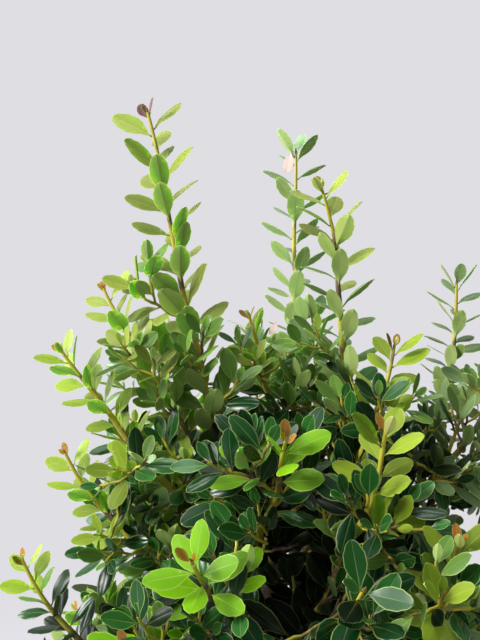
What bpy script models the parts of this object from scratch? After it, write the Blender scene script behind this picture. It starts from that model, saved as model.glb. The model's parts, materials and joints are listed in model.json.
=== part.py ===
"""Potted small-leaved holly, a young evergreen shrub of upright, pyramidal habit, in a plain growing pot.

Metres, +Z up. The origin is the centre of the pot's flat underside, and -Y is the front.
The pot and its compost are turned shapes. The plant is a short trunk, one tapering bough for each
leafy shoot, and for each shoot one solid of stem, side twigs and leaves that keeps to its own space.
"""

import bisect
import math
import random
from collections import namedtuple

import bmesh
import bpy
from mathutils import Matrix, Vector
from mathutils.bvhtree import BVHTree

# The pot and the compost in it
POT_HEIGHT = 0.162
POT_TOP_RADIUS = 0.091
POT_BASE_RADIUS = 0.069
POT_WALL = 0.0026
POT_FLOOR = 0.0035
RIM_DEPTH = 0.015
RIM_PROUD = 0.0045
FOOT_HEIGHT = 0.013
FOOT_STEP = 0.0022
POT_SIDES = 36
DRAIN_HOLES = 8
DRAIN_WIDTH = 0.013
DRAIN_REACH = 0.016
DRAIN_HEIGHT = 0.0085
COMPOST_LEVEL = 0.150
CHAMFER = 0.0012
SHARP_ANGLE = math.radians(35)

# The woody frame
TRUNK_TOP = 0.305
TRUNK_LEAN = 0.006
TRUNK_RADIUS = 0.0082
TRUNK_TOP_RADIUS = 0.0052
ROOT_FLARE = 0.0052
ROOT_FLARE_DEPTH = 0.011
TRUNK_BOW = 0.03
TRUNK_SIDES = 12
TRUNK_RING_SPACING = 0.014
TWIG_TIP_RADIUS = 0.0016
LIMB_BASE_RADIUS = 0.0019
LIMB_RADIUS_BY_LENGTH = 0.0078
LIMB_SHARE_OF_MOTHER = 0.80
LIMB_TAPER = 0.9
LIMB_SIDES = 6
STEM_SIDES = 5
RING_SPACING = 0.030
WOBBLE = 0.0022
LEADER_SUNK = 0.0015
GAP = 0.0003

# The side twigs of a shoot: how far past its first leaf they begin, how unevenly they are spaced, how
# much shorter the last is than the first and how far their lengths vary, and how much of a twig's
# direction goes along the stem, out of it, and up
TWIGS_PAST = 0.03
TWIG_PLACE = 0.35
TWIG_PLACE_VARIES = 0.15
TWIG_LENGTHS = (1.05, 0.60)
TWIG_LENGTH_VARIES = (0.85, 1.10)
TWIG_ALONG, TWIG_OUT, TWIG_UP = 0.55, 0.85, 0.25
TWIG_SIDES = 3
TWIG_RING_SPACING = 0.040
TWIG_BOW = 0.16
TWIG_SHARE_OF_STEM = 0.72
TWIG_LEAFY_FROM = 0.22

# The leaves: fewer than on the living plant, and larger
LEAF_LENGTH = 0.044
LEAF_WIDTH = 0.028
LEAF_THICKNESS = 0.0013
LEAF_BEND = 0.05
LEAF_WIDEST = 0.54
LEAF_RIDGE = 0.46
LEAF_SPREAD = (66, 48)
LEAF_SPREAD_VARIES = 6
LEAF_LIFT = 0.12
LEAF_ROLL = math.radians(25)
LEAF_SIZE_VARIES = (0.88, 1.06)
LEAF_SIZES = (1.0, 0.88)
UPWARD_FACING = 0.3
OUTWARD_FACING = 0.6
LEAF_CLEARANCE = 0.0004
RIDGE_GUARD = 0.8
WHOLE_SKIPS = 0.02
CORE_SKIPS = 0.20
STEM_LEAVES_PAST = 0.02
TIP_LEAVES = 2
TIP_PLACE = 0.985
TIP_SPREAD = math.radians(32)
TIP_LEAF_SIZE = 0.62
GOLDEN_ANGLE = math.radians(137.5)

COLOURS = {
    "pot": (0.035, 0.037, 0.040, 0.55),
    "compost": (0.045, 0.028, 0.018, 0.95),
    "bark": (0.22, 0.19, 0.07, 0.75),
    "foliage": (0.06, 0.16, 0.03, 0.45),
}

# How a kind of shoot grows: where along it the leaves begin, its side twigs, how far up the leafy
# stem they go, their length, the radius of the space round the stem that the shoot keeps to, how far
# apart its leaves stand and how large they are
Habit = namedtuple("Habit", "leafy_from twigs twig_zone twig_length space leaf_spacing leaf_size")
SPIRE = Habit(0.30, 2, 0.40, 0.060, 0.075, 0.0185, 0.92)
PLUME = Habit(0.30, 3, 0.24, 0.050, 0.065, 0.0185, 0.92)
SPRIG = Habit(0.34, 3, 0.50, 0.042, 0.060, 0.022, 1.00)
BRANCH = Habit(0.30, 4, 0.40, 0.050, 0.070, 0.024, 1.04)
ARM = Habit(0.30, 6, 0.66, 0.058, 0.080, 0.026, 1.08)
TUFT = Habit(0.34, 4, 0.65, 0.045, 0.070, 0.024, 1.08)
SKIRT = Habit(0.36, 5, 0.80, 0.055, 0.085, 0.025, 1.12)

# One leafy shoot: what it springs from and how far along that, then where its tip is (compass angle
# round the trunk in degrees from +X, reach from the pot's axis, height over the compost), how far it
# bows out and down between, as a share of its length, and the turn of its first side twig in degrees
Shoot = namedtuple("Shoot", "name habit mother at azimuth reach height bow turn")
SHOOTS = [
    Shoot("spire_centre", SPIRE, "trunk", 1.00, 27, 0.045, 0.428, 0.27, 265),
    Shoot("spire_back", PLUME, "spire_centre", 0.11, 77, 0.123, 0.474, 0.22, 40),
    Shoot("crown_centre", SPRIG, "spire_centre", 0.20, 124, 0.024, 0.334, 0.05, 250),
    Shoot("arm_left", BRANCH, "trunk", 0.92, 200, 0.146, 0.310, 0.06, 70),
    Shoot("spire_left", SPIRE, "arm_left", 0.21, 200, 0.088, 0.471, -0.03, 300),
    Shoot("shoulder_left", SPRIG, "spire_left", 0.16, 190, 0.116, 0.352, 0.04, 210),
    Shoot("centre_front", TUFT, "arm_left", 0.11, 273, 0.120, 0.261, 0.14, 300),
    Shoot("back_left_high", BRANCH, "trunk", 0.88, 128, 0.115, 0.300, 0.16, 40),
    Shoot("right_centre", TUFT, "trunk", 0.84, 347, 0.089, 0.313, 0.14, 0),
    Shoot("spire_right", PLUME, "trunk", 0.78, 19, 0.156, 0.359, 0.32, 330),
    Shoot("arm_right_high", TUFT, "spire_right", 0.21, 3, 0.178, 0.315, 0.18, 300),
    Shoot("arm_low_left", SPRIG, "trunk", 0.74, 193, 0.142, 0.240, 0.19, 220),
    Shoot("arm_right", TUFT, "trunk", 0.70, 358, 0.137, 0.262, 0.22, 280),
    Shoot("back_mid", ARM, "trunk", 0.66, 92, 0.158, 0.275, 0.20, 10),
    Shoot("front_right", TUFT, "trunk", 0.64, 298, 0.136, 0.268, 0.22, 30),
    Shoot("front_rosette", TUFT, "front_right", 0.17, 285, 0.172, 0.190, 0.14, 90),
    Shoot("back_right", ARM, "trunk", 0.60, 50, 0.165, 0.262, 0.20, 150),
    Shoot("front_left", TUFT, "trunk", 0.57, 254, 0.166, 0.203, 0.07, 160),
    Shoot("back_left", ARM, "trunk", 0.54, 134, 0.158, 0.245, 0.20, 260),
    Shoot("front_low", SKIRT, "trunk", 0.41, 240, 0.166, 0.150, 0.14, 60),
    Shoot("skirt_far_left", SKIRT, "trunk", 0.38, 156, 0.165, 0.100, 0.24, 100),
    Shoot("skirt_front_right", SKIRT, "trunk", 0.36, 306, 0.172, 0.208, 0.34, 200),
    Shoot("skirt_back_right", SKIRT, "trunk", 0.33, 62, 0.170, 0.150, 0.24, 300),
    Shoot("skirt_left", BRANCH, "trunk", 0.30, 203, 0.172, 0.178, 0.28, 0),
    Shoot("skirt_right", SKIRT, "trunk", 0.28, 345, 0.168, 0.158, 0.26, 240),
    Shoot("skirt_back_left", SKIRT, "trunk", 0.26, 116, 0.170, 0.140, 0.24, 330),
    Shoot("skirt_front", SKIRT, "trunk", 0.20, 268, 0.150, 0.098, 0.20, 30),
]

UP = Vector((0, 0, 1))


def material(name):
    """The plain finish of one kind of piece."""
    made = bpy.data.materials.new(name)
    made.use_nodes = True
    red, green, blue, roughness = COLOURS[name]
    shader = made.node_tree.nodes["Principled BSDF"]
    shader.inputs["Base Color"].default_value = (red, green, blue, 1)
    shader.inputs["Roughness"].default_value = roughness
    made.diffuse_color = (red, green, blue, 1)
    return made


def solid(name, bm, finish):
    """A named object made from a bmesh."""
    bmesh.ops.recalc_face_normals(bm, faces=bm.faces)
    mesh = bpy.data.meshes.new(name)
    bm.to_mesh(mesh)
    bm.free()
    if finish:
        mesh.materials.append(finish)
    piece = bpy.data.objects.new(name, mesh)
    bpy.context.scene.collection.objects.link(piece)
    return piece


def turned(name, profile, finish):
    """A closed shape with flat ends, turned about the Z axis from a profile of (radius, height) points."""
    bm = bmesh.new()
    line = [bm.verts.new((radius, 0, height)) for radius, height in profile]
    edges = [bm.edges.new(pair) for pair in zip(line, line[1:])]
    bmesh.ops.spin(bm, geom=line + edges, axis=(0, 0, 1), angle=2 * math.pi, steps=POT_SIDES, use_merge=True)
    bmesh.ops.remove_doubles(bm, verts=bm.verts, dist=1e-5)
    bmesh.ops.holes_fill(bm, edges=bm.edges, sides=POT_SIDES)
    piece = solid(name, bm, finish)
    piece.data.shade_smooth()
    piece.data.set_sharp_from_angle(angle=SHARP_ANGLE)
    return piece


def pot_radius(height):
    """Radius of the pot's outer wall at a height, without its rim and foot."""
    return POT_BASE_RADIUS + (POT_TOP_RADIUS - POT_BASE_RADIUS) * height / POT_HEIGHT


def hidden_cutter(piece):
    """Marks a shape that only cuts another."""
    piece.hide_render = True
    piece.display_type = "WIRE"


def cut(piece, cutter):
    """Takes one shape away from another."""
    modifier = piece.modifiers.new("cut_" + cutter.name, "BOOLEAN")
    modifier.operation = "DIFFERENCE"
    modifier.solver = "EXACT"
    modifier.object = cutter


def drain_cutter():
    """Eight short slots through the foot of the wall and the edge of the floor, as one shape."""
    bm = bmesh.new()
    for k in range(DRAIN_HOLES):
        turn = Matrix.Rotation(2 * math.pi * (k + 0.5) / DRAIN_HOLES, 4, "Z")
        place = Matrix.Translation((POT_BASE_RADIUS - DRAIN_REACH / 2 + FOOT_STEP, 0, 0))
        size = Matrix.Diagonal((DRAIN_REACH, DRAIN_WIDTH, 2 * DRAIN_HEIGHT, 1))
        bmesh.ops.create_cube(bm, size=1, matrix=turn @ place @ size)
    return solid("drain_cutter", bm, None)


def make_pot(finish):
    """A tapered pot with a stepped foot, a banded rim and drain slots round its base."""
    band = POT_HEIGHT - RIM_DEPTH
    rim = POT_TOP_RADIUS + RIM_PROUD
    profile = [
        (POT_BASE_RADIUS - FOOT_STEP - CHAMFER, 0),
        (POT_BASE_RADIUS - FOOT_STEP, CHAMFER),
        (pot_radius(FOOT_HEIGHT) - FOOT_STEP, FOOT_HEIGHT),
        (pot_radius(FOOT_HEIGHT), FOOT_HEIGHT + CHAMFER),
        (pot_radius(band), band),
        (rim - CHAMFER, band + CHAMFER),
        (rim, band + 2 * CHAMFER),
        (rim, POT_HEIGHT - CHAMFER),
        (rim - CHAMFER, POT_HEIGHT),
        (rim - POT_WALL, POT_HEIGHT),
        (pot_radius(band) - POT_WALL, band),
        (pot_radius(POT_FLOOR) - FOOT_STEP - POT_WALL, POT_FLOOR),
    ]
    pot = turned("pot", profile, finish)
    drain = drain_cutter()
    cut(pot, drain)
    hidden_cutter(drain)
    return pot


def make_compost(finish):
    """The compost that fills the pot, flat on top, a hair clear of the wall and floor."""
    low = POT_FLOOR + GAP
    clear = POT_WALL + FOOT_STEP + GAP
    profile = [
        (pot_radius(low) - clear, low),
        (pot_radius(POT_HEIGHT - RIM_DEPTH) - POT_WALL - 2 * GAP, POT_HEIGHT - RIM_DEPTH),
        (pot_radius(COMPOST_LEVEL) - POT_WALL, COMPOST_LEVEL),
    ]
    return turned("compost", profile, finish)


def between(ends, t):
    """A value that goes from the first of two to the second as t goes from 0 to 1."""
    return ends[0] + (ends[1] - ends[0]) * t


def along(ends, t):
    """A point on the curve through three control points."""
    start, middle, end = ends
    return start * (1 - t) ** 2 + middle * (2 * t * (1 - t)) + end * t**2


def heading(ends, t):
    """The direction of that curve."""
    start, middle, end = ends
    return ((middle - start) * (1 - t) + (end - middle) * t).normalized()


def sideways(direction, turn):
    """A unit vector square to a direction, at an angle about it that is measured from above."""
    reference = UP if abs(direction.z) < 0.98 else Vector((0, 1, 0))
    across = direction.cross(reference).normalized()
    return Matrix.Rotation(turn, 3, direction) @ across


class Limb:
    """One woody line: short straight lengths along a curve with a slight seeded wobble and a taper."""

    def __init__(self, name, start, tip, bow, base_radius, leafy_from=0.0, spacing=RING_SPACING):
        chord = tip - start
        drop = -(UP - UP.dot(chord.normalized()) * chord.normalized()).normalized()
        self.name = name
        self.ends = (start, start + chord / 2 + drop * (bow * chord.length), tip)
        self.length = chord.length
        self.base_radius = base_radius
        self.leafy_from = leafy_from
        seeded = random.Random(name)
        self.phases = [seeded.uniform(0, 2 * math.pi) for _ in range(2)]
        self.knots = [0.0]
        for low, high in ((0.0, leafy_from), (leafy_from, 1.0)):
            steps = max(1, round((high - low) * self.length / spacing)) if high > low else 0
            self.knots += [round(low + (high - low) * (k + 1) / steps, 6) for k in range(steps)]
        self.line = [self.on_curve(t) for t in self.knots]

    def on_curve(self, t):
        """A point of the bowed line with its wobble, which is nothing at both ends."""
        sway = WOBBLE * math.sin(math.pi * t)
        side = sideways(heading(self.ends, t), 0)
        other = heading(self.ends, t).cross(side)
        wave = 4 * math.pi * t
        offset = side * math.sin(wave + self.phases[0]) + other * math.sin(wave + self.phases[1])
        return along(self.ends, t) + offset * sway

    def point(self, t):
        """A point on the straight lengths."""
        k = min(bisect.bisect_right(self.knots, t), len(self.knots) - 1)
        low, high = self.knots[k - 1], self.knots[k]
        return self.line[k - 1].lerp(self.line[k], (t - low) / (high - low))

    def direction(self, t):
        """The direction there, and the mean of two where they meet."""
        k = min(bisect.bisect_right(self.knots, t), len(self.knots) - 1)
        low, high = k - 1, k
        if t == self.knots[k - 1]:
            low = max(k - 2, 0)
        return (self.line[high] - self.line[low]).normalized()

    def radius(self, t):
        """The radius, which tapers to a twig's at the tip."""
        return TWIG_TIP_RADIUS + (self.base_radius - TWIG_TIP_RADIUS) * (1 - t) ** LIMB_TAPER


class Trunk(Limb):
    """The trunk, from its flat cut on the compost, with its root flare and a slight lean, to its fork."""

    def __init__(self):
        foot = Vector((TRUNK_LEAN, TRUNK_LEAN / 2, COMPOST_LEVEL + GAP))
        fork = Vector((0, 0, TRUNK_TOP))
        super().__init__("trunk", foot, fork, TRUNK_BOW, TRUNK_RADIUS, 1.0, TRUNK_RING_SPACING)

    def direction(self, t):
        """Straight up at the foot, so that the cut is flat."""
        return UP if t == 0 else super().direction(t)

    def radius(self, t):
        """The radius, with the root flare at the foot."""
        rise = t * (TRUNK_TOP - COMPOST_LEVEL)
        taper = TRUNK_RADIUS + (TRUNK_TOP_RADIUS - TRUNK_RADIUS) * t
        return taper + ROOT_FLARE * math.exp(-rise / ROOT_FLARE_DEPTH)


def frame_of(direction, previous):
    """The square cross directions of a ring, turned as little as possible from the ring before."""
    across = previous - direction * previous.dot(direction)
    if across.length < 1e-6:
        across = sideways(direction, 0)
    across.normalize()
    return across, direction.cross(across)


def tube_points(points, directions, radii, sides):
    """Rings of points round a line, joined end to end."""
    corners = []
    across = sideways(directions[0], 0)
    for point, direction, radius in zip(points, directions, radii):
        across, other = frame_of(direction, across)
        angles = [2 * math.pi * s / sides for s in range(sides)]
        corners += [point + (across * math.cos(a) + other * math.sin(a)) * radius for a in angles]
    return corners


def tube_faces(count, sides):
    """The faces of a closed tube with flat ends, as indices into its rings joined end to end."""
    faces = [tuple(range(sides))[::-1], tuple((count - 1) * sides + s for s in range(sides))]
    for ring in range(count - 1):
        for s in range(sides):
            low, high = ring * sides, (ring + 1) * sides
            after = (s + 1) % sides
            faces.append((low + s, low + after, high + after, high + s))
    return faces


def limb_shape(limb, start, end, sides, grow=0.0, clear=0.0):
    """(points, faces) of one stretch of a limb, made fatter and longer by grow, its start moved on by clear."""
    shares = [start] + [t for t in limb.knots if start < t < end] + [end]
    points = [limb.point(t) for t in shares]
    directions = [limb.direction(t) for t in shares]
    radii = [limb.radius(t) + grow for t in shares]
    points[0] = points[0] + directions[0] * (clear - grow)
    points[-1] = points[-1] + directions[-1] * grow
    return tube_points(points, directions, radii, sides), tube_faces(len(points), sides)


def shape_object(name, shape, finish):
    """An object from (points, faces)."""
    bm = bmesh.new()
    corners = [bm.verts.new(point) for point in shape[0]]
    for face in shape[1]:
        bm.faces.new([corners[k] for k in face])
    return solid(name, bm, finish)


def grow_limbs():
    """Every shoot's limb, from the middle of its mother to its tip."""
    limbs = {"trunk": Trunk()}
    for shoot in SHOOTS:
        mother = limbs[shoot.mother]
        start = mother.point(shoot.at) - mother.direction(shoot.at) * (LEADER_SUNK if shoot.at == 1 else 0)
        angle = math.radians(shoot.azimuth)
        across = Vector((math.cos(angle), math.sin(angle), 0)) * shoot.reach
        tip = across + UP * (COMPOST_LEVEL + shoot.height)
        own = LIMB_BASE_RADIUS + LIMB_RADIUS_BY_LENGTH * (tip - start).length
        radius = min(own, LIMB_SHARE_OF_MOTHER * mother.radius(shoot.at))
        limbs[shoot.name] = Limb(shoot.name, start, tip, shoot.bow, radius, shoot.habit.leafy_from)
    return limbs


def make_bough(shoot, limbs, finish):
    """A shoot's bare lower limb, cut to the side of what it springs from."""
    limb, mother = limbs[shoot.name], limbs[shoot.mother]
    bough = shape_object("bough_" + shoot.name, limb_shape(limb, 0, limb.leafy_from, LIMB_SIDES), finish)
    sides = TRUNK_SIDES if shoot.mother == "trunk" else LIMB_SIDES
    cutter = shape_object("cutter_" + shoot.name, limb_shape(mother, 0, mother.leafy_from, sides, GAP), None)
    cut(bough, cutter)
    hidden_cutter(cutter)
    return bough


def side_twigs(shoot, limb):
    """The side twigs of a shoot, each as a limb of its own, set round the stem by the golden angle."""
    habit = shoot.habit
    seeded = random.Random(shoot.name + " twigs")
    twigs = []
    for k in range(habit.twigs):
        share = (k + TWIG_PLACE + seeded.uniform(-TWIG_PLACE_VARIES, TWIG_PLACE_VARIES)) / habit.twigs
        first = habit.leafy_from + TWIGS_PAST
        t = first + (1 - first) * habit.twig_zone * share
        stem = limb.direction(t)
        out = sideways(stem, math.radians(shoot.turn) + k * GOLDEN_ANGLE)
        length = habit.twig_length * between(TWIG_LENGTHS, share) * seeded.uniform(*TWIG_LENGTH_VARIES)
        start, radius = limb.point(t), TWIG_SHARE_OF_STEM * limb.radius(t)
        tip = start + (stem * TWIG_ALONG + out * TWIG_OUT + UP * TWIG_UP).normalized() * length
        twigs.append(Limb(f"{shoot.name} {k}", start, tip, TWIG_BOW, radius, spacing=TWIG_RING_SPACING))
    return twigs


def leaf_frame(root, axis, turn, spread, roll):
    """Where a leaf stands: its root, its direction, and the way its upper side faces, up and outward."""
    out = sideways(axis, turn)
    direction = (axis * math.cos(spread) + out * math.sin(spread) + UP * LEAF_LIFT).normalized()
    face = axis + UP * UPWARD_FACING + Vector((root.x, root.y, 0)).normalized() * OUTWARD_FACING
    face = (face - direction * face.dot(direction)).normalized()
    return root, direction, Matrix.Rotation(roll, 3, direction) @ face


def leaf_sites(habit, limb, start, seed):
    """Where leaves stand along a limb: evenly spaced by the golden angle, then a cluster at the tip."""
    seeded = random.Random(seed)
    span = (1 - start) * limb.length
    count = max(1, int(span / habit.leaf_spacing))
    turn = seeded.uniform(0, 2 * math.pi)
    sites = []
    for k in range(count):
        t = start + (1 - start) * (k + 0.5) / (count + 0.3)
        varied = seeded.uniform(-LEAF_SPREAD_VARIES, LEAF_SPREAD_VARIES)
        spread = math.radians(between(LEAF_SPREAD, t) + varied)
        roll = seeded.uniform(-LEAF_ROLL, LEAF_ROLL)
        size = seeded.uniform(*LEAF_SIZE_VARIES) * between(LEAF_SIZES, t) * habit.leaf_size
        sites.append((*leaf_frame(limb.point(t), limb.direction(t), turn, spread, roll), size))
        turn += GOLDEN_ANGLE
    for k in range(TIP_LEAVES):
        around = turn + 2 * math.pi * k / TIP_LEAVES
        place = leaf_frame(limb.point(TIP_PLACE), limb.direction(1), around, TIP_SPREAD, 0)
        sites.append((*place, TIP_LEAF_SIZE))
    return sites


def leaf_points(root, direction, face, size, grow=0.0):
    """A leaf's root, its two widest points and its tip, which bends down a little."""
    across = face.cross(direction)
    length, half = LEAF_LENGTH * size, LEAF_WIDTH * size / 2 + grow
    middle = root + direction * (LEAF_WIDEST * length)
    tip = root + direction * (length + grow) - face * (LEAF_BEND * length)
    return root, middle + across * half, tip, middle - across * half


def leaf_shape(root, direction, face, size):
    """(points, faces) of one leaf: a thin kite with a flat underside, thickest along its midrib."""
    back, left, tip, right = leaf_points(root, direction, face, size)
    ridge = root + direction * (LEAF_RIDGE * LEAF_LENGTH * size) + face * LEAF_THICKNESS
    return [back, left, tip, right, ridge], [(0, 1, 3), (1, 2, 3), (0, 4, 1), (1, 4, 2), (2, 4, 3), (3, 4, 0)]


def leaf_guard(root, direction, face, size, skipped):
    """(points, faces) of the space that a leaf keeps clear, but for a share of its length at the root."""
    forward = root + direction * (skipped * LEAF_LENGTH * size)
    points = leaf_points(forward, direction, face, (1 - skipped) * size, LEAF_CLEARANCE)
    low = [point - face * LEAF_CLEARANCE for point in points]
    high = [point + face * (LEAF_CLEARANCE + RIDGE_GUARD * LEAF_THICKNESS) for point in points]
    sides = [(k, (k + 1) % 4, 4 + (k + 1) % 4, 4 + k) for k in range(4)]
    return low + high, [(0, 3, 1), (1, 3, 2), (4, 5, 7), (5, 6, 7)] + sides


class Solid:
    """A shape's box and search tree, for finding what it touches."""

    def __init__(self, shape):
        points = [tuple(point) for point in shape[0]]
        self.low = [min(point[k] for point in points) for k in range(3)]
        self.high = [max(point[k] for point in points) for k in range(3)]
        self.tree = BVHTree.FromPolygons(points, shape[1])

    def touches(self, other):
        """Whether the faces of the two cross."""
        if any(self.low[k] > other.high[k] or other.low[k] > self.high[k] for k in range(3)):
            return False
        return bool(self.tree.overlap(other.tree))


class Standing:
    """What already stands. Each piece has its whole space, and the part of it that its own shoot keeps off."""

    def __init__(self):
        self.pieces = []

    def add(self, owner, kind, whole, core):
        """Takes in a piece unasked."""
        self.pieces.append((owner, kind, whole, core))

    def takes(self, owner, kind, whole, core, joins=()):
        """Adds a piece if it touches nothing but what it joins, and says whether it did."""
        for other, other_kind, other_whole, other_core in self.pieces:
            if other != owner and whole.touches(other_whole):
                return False
            if other == owner and other_kind not in joins and core.touches(other_core):
                return False
        self.add(owner, kind, whole, core)
        return True


def stand_limbs(limbs):
    """The pot, the trunk, the bare boughs and the leafy stems, which stand before any twig or leaf."""
    standing = Standing()
    reach = POT_TOP_RADIUS + RIM_PROUD + LEAF_CLEARANCE
    ends = [Vector((0, 0, 0)), Vector((0, 0, POT_HEIGHT + LEAF_CLEARANCE))]
    drum = Solid((tube_points(ends, [UP, UP], [reach, reach], POT_SIDES), tube_faces(2, POT_SIDES)))
    standing.add("pot", "pot", drum, drum)
    sides = {"trunk": TRUNK_SIDES}
    for name, limb in limbs.items():
        bare = Solid(limb_shape(limb, 0, limb.leafy_from, sides.get(name, LIMB_SIDES), LEAF_CLEARANCE))
        standing.add(name, "bough", bare, bare)
        if limb.leafy_from < 1:
            stem = Solid(limb_shape(limb, limb.leafy_from, 1, STEM_SIDES, LEAF_CLEARANCE))
            standing.add(name, "stem", stem, stem)
    return standing


def distance_to_stem(point, limb):
    """How far a point is from the leafy stretch of a limb."""
    shares = [limb.leafy_from + (1 - limb.leafy_from) * k / 12 for k in range(13)]
    return min((point - limb.point(t)).length for t in shares)


def grow_twigs(shoot, limbs, standing):
    """The side twigs of a shoot that have room, each with the name that marks it among what stands."""
    grown = []
    for k, twig in enumerate(side_twigs(shoot, limbs[shoot.name])):
        guard = Solid(limb_shape(twig, 0, 1, TWIG_SIDES, LEAF_CLEARANCE))
        if standing.takes(shoot.name, f"twig {k}", guard, guard, ("stem",)):
            grown.append((twig, f"twig {k}"))
    return grown


def grow_leaves(shoot, limb, twigs, standing):
    """The leaves of a shoot that have room and stay within its space."""
    grown = []
    lines = [(limb, limb.leafy_from + STEM_LEAVES_PAST, "stem")]
    lines += [(twig, TWIG_LEAFY_FROM, kind) for twig, kind in twigs]
    for line, start, kind in lines:
        for site in leaf_sites(shoot.habit, line, start, f"{shoot.name} {kind} leaves"):
            root, direction, _, size = site
            if distance_to_stem(root + direction * (LEAF_LENGTH * size), limb) > shoot.habit.space:
                continue
            whole, core = Solid(leaf_guard(*site, WHOLE_SKIPS)), Solid(leaf_guard(*site, CORE_SKIPS))
            if standing.takes(shoot.name, "leaf", whole, core, (kind,)):
                grown.append(leaf_shape(*site))
    return grown


def plan_foliage(limbs):
    """For each shoot, the twig and leaf shapes that keep to its space and touch nothing of another node."""
    standing = stand_limbs(limbs)
    twigs = {shoot.name: grow_twigs(shoot, limbs, standing) for shoot in SHOOTS}
    plans = {}
    for shoot in SHOOTS:
        leaves = grow_leaves(shoot, limbs[shoot.name], twigs[shoot.name], standing)
        plans[shoot.name] = [limb_shape(twig, 0, 1, TWIG_SIDES) for twig, _ in twigs[shoot.name]] + leaves
    return plans


def fuse(piece, shapes):
    """Joins many small shapes to one piece with a single union, and applies it."""
    group = bpy.data.collections.new(piece.name + "_shapes")
    bpy.context.scene.collection.children.link(group)
    for k, shape in enumerate(shapes):
        small = shape_object(f"{piece.name}_{k}", shape, None)
        bpy.context.scene.collection.objects.unlink(small)
        group.objects.link(small)
    union = piece.modifiers.new("union", "BOOLEAN")
    union.operation = "UNION"
    union.operand_type = "COLLECTION"
    union.collection = group
    union.solver = "EXACT"
    bpy.context.view_layer.update()
    evaluated = piece.evaluated_get(bpy.context.evaluated_depsgraph_get())
    joined = bpy.data.meshes.new_from_object(evaluated)
    piece.modifiers.remove(union)
    piece.data = joined
    for small in list(group.objects):
        bpy.data.objects.remove(small)
    bpy.data.collections.remove(group)


def make_foliage(shoot, limb, shapes, finish):
    """A shoot's leafy stem with its side twigs and leaves, as one solid that starts a hair past its bough."""
    shape = limb_shape(limb, limb.leafy_from, 1, STEM_SIDES, clear=GAP)
    stem = shape_object("foliage_" + shoot.name, shape, finish)
    fuse(stem, shapes)
    return stem


def main():
    for thing in list(bpy.data.objects):
        bpy.data.objects.remove(thing)
    finishes = {name: material(name) for name in COLOURS}
    make_pot(finishes["pot"])
    make_compost(finishes["compost"])
    limbs = grow_limbs()
    shape_object("trunk", limb_shape(limbs["trunk"], 0, 1, TRUNK_SIDES), finishes["bark"])
    for shoot in SHOOTS:
        make_bough(shoot, limbs, finishes["bark"])
    plans = plan_foliage(limbs)
    for shoot in SHOOTS:
        make_foliage(shoot, limbs[shoot.name], plans[shoot.name], finishes["foliage"])


main()
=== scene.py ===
"""The finished look of a potted small-leaved holly: bark, green twigs, leaves, buds, pot, compost and studio."""

import functools
import json
import math
import random
from collections import defaultdict, namedtuple

import bmesh
import bpy
from bpy.props import FloatProperty, FloatVectorProperty, IntProperty, PointerProperty
from mathutils import Matrix, Vector, noise
from mathutils.bvhtree import BVHTree

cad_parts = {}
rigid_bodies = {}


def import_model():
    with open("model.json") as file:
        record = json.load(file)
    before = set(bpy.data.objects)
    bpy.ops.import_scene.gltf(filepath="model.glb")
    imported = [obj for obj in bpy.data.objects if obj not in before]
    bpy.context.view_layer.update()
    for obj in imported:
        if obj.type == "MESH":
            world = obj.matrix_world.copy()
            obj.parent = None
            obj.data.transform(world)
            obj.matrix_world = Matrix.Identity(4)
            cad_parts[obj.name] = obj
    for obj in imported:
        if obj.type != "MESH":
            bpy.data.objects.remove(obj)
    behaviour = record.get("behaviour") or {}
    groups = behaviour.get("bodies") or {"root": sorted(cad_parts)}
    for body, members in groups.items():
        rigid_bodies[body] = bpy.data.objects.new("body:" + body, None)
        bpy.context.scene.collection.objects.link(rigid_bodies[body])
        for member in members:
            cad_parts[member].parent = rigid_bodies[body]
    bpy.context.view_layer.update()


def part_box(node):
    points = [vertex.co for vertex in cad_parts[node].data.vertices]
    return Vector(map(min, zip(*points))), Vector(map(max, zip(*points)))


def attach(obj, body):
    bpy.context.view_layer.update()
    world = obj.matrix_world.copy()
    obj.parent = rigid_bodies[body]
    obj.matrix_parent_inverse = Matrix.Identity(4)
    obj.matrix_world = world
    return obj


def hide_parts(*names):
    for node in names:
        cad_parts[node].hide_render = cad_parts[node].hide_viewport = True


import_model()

bl_info = {
    "name": "Potted Small-leaved Holly",
    "version": (1, 0, 0),
    "blender": (4, 5, 0),
    "location": "View3D > Sidebar > Holly",
    "description": "Grows a potted holly with an upright crown, leaf by leaf",
    "category": "Object",
}

POT_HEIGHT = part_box("pot")[1].z
RIM_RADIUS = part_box("pot")[1].x
COMPOST_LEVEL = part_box("compost")[1].z
COMPOST_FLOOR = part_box("compost")[0].z
COMPOST_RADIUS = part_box("compost")[1].x

UP = Vector((0, 0, 1))
GOLDEN_ANGLE = math.radians(137.5)
# A direction that rises by more than this is taken as upright
UPRIGHT = 0.98

# The woody frame, grown by the same rule as the solids
TRUNK_FOOT = 0.1503
TRUNK_TOP = 0.305
TRUNK_LEAN = 0.006
TRUNK_RADIUS = 0.0082
TRUNK_TOP_RADIUS = 0.0052
ROOT_FLARE = 0.0052
ROOT_FLARE_DEPTH = 0.011
TWIG_TIP_RADIUS = 0.0016
LIMB_BASE_RADIUS = 0.0019
LIMB_RADIUS_BY_LENGTH = 0.0078
LIMB_SHARE_OF_MOTHER = 0.80
WOBBLE = 0.0022
LEADER_SUNK = 0.0015
TWIG_CLEARANCE = 0.0004
TRUNK_BOW = 0.03
SWAY_SHARE = 0.025
TAPER = 0.9

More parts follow.
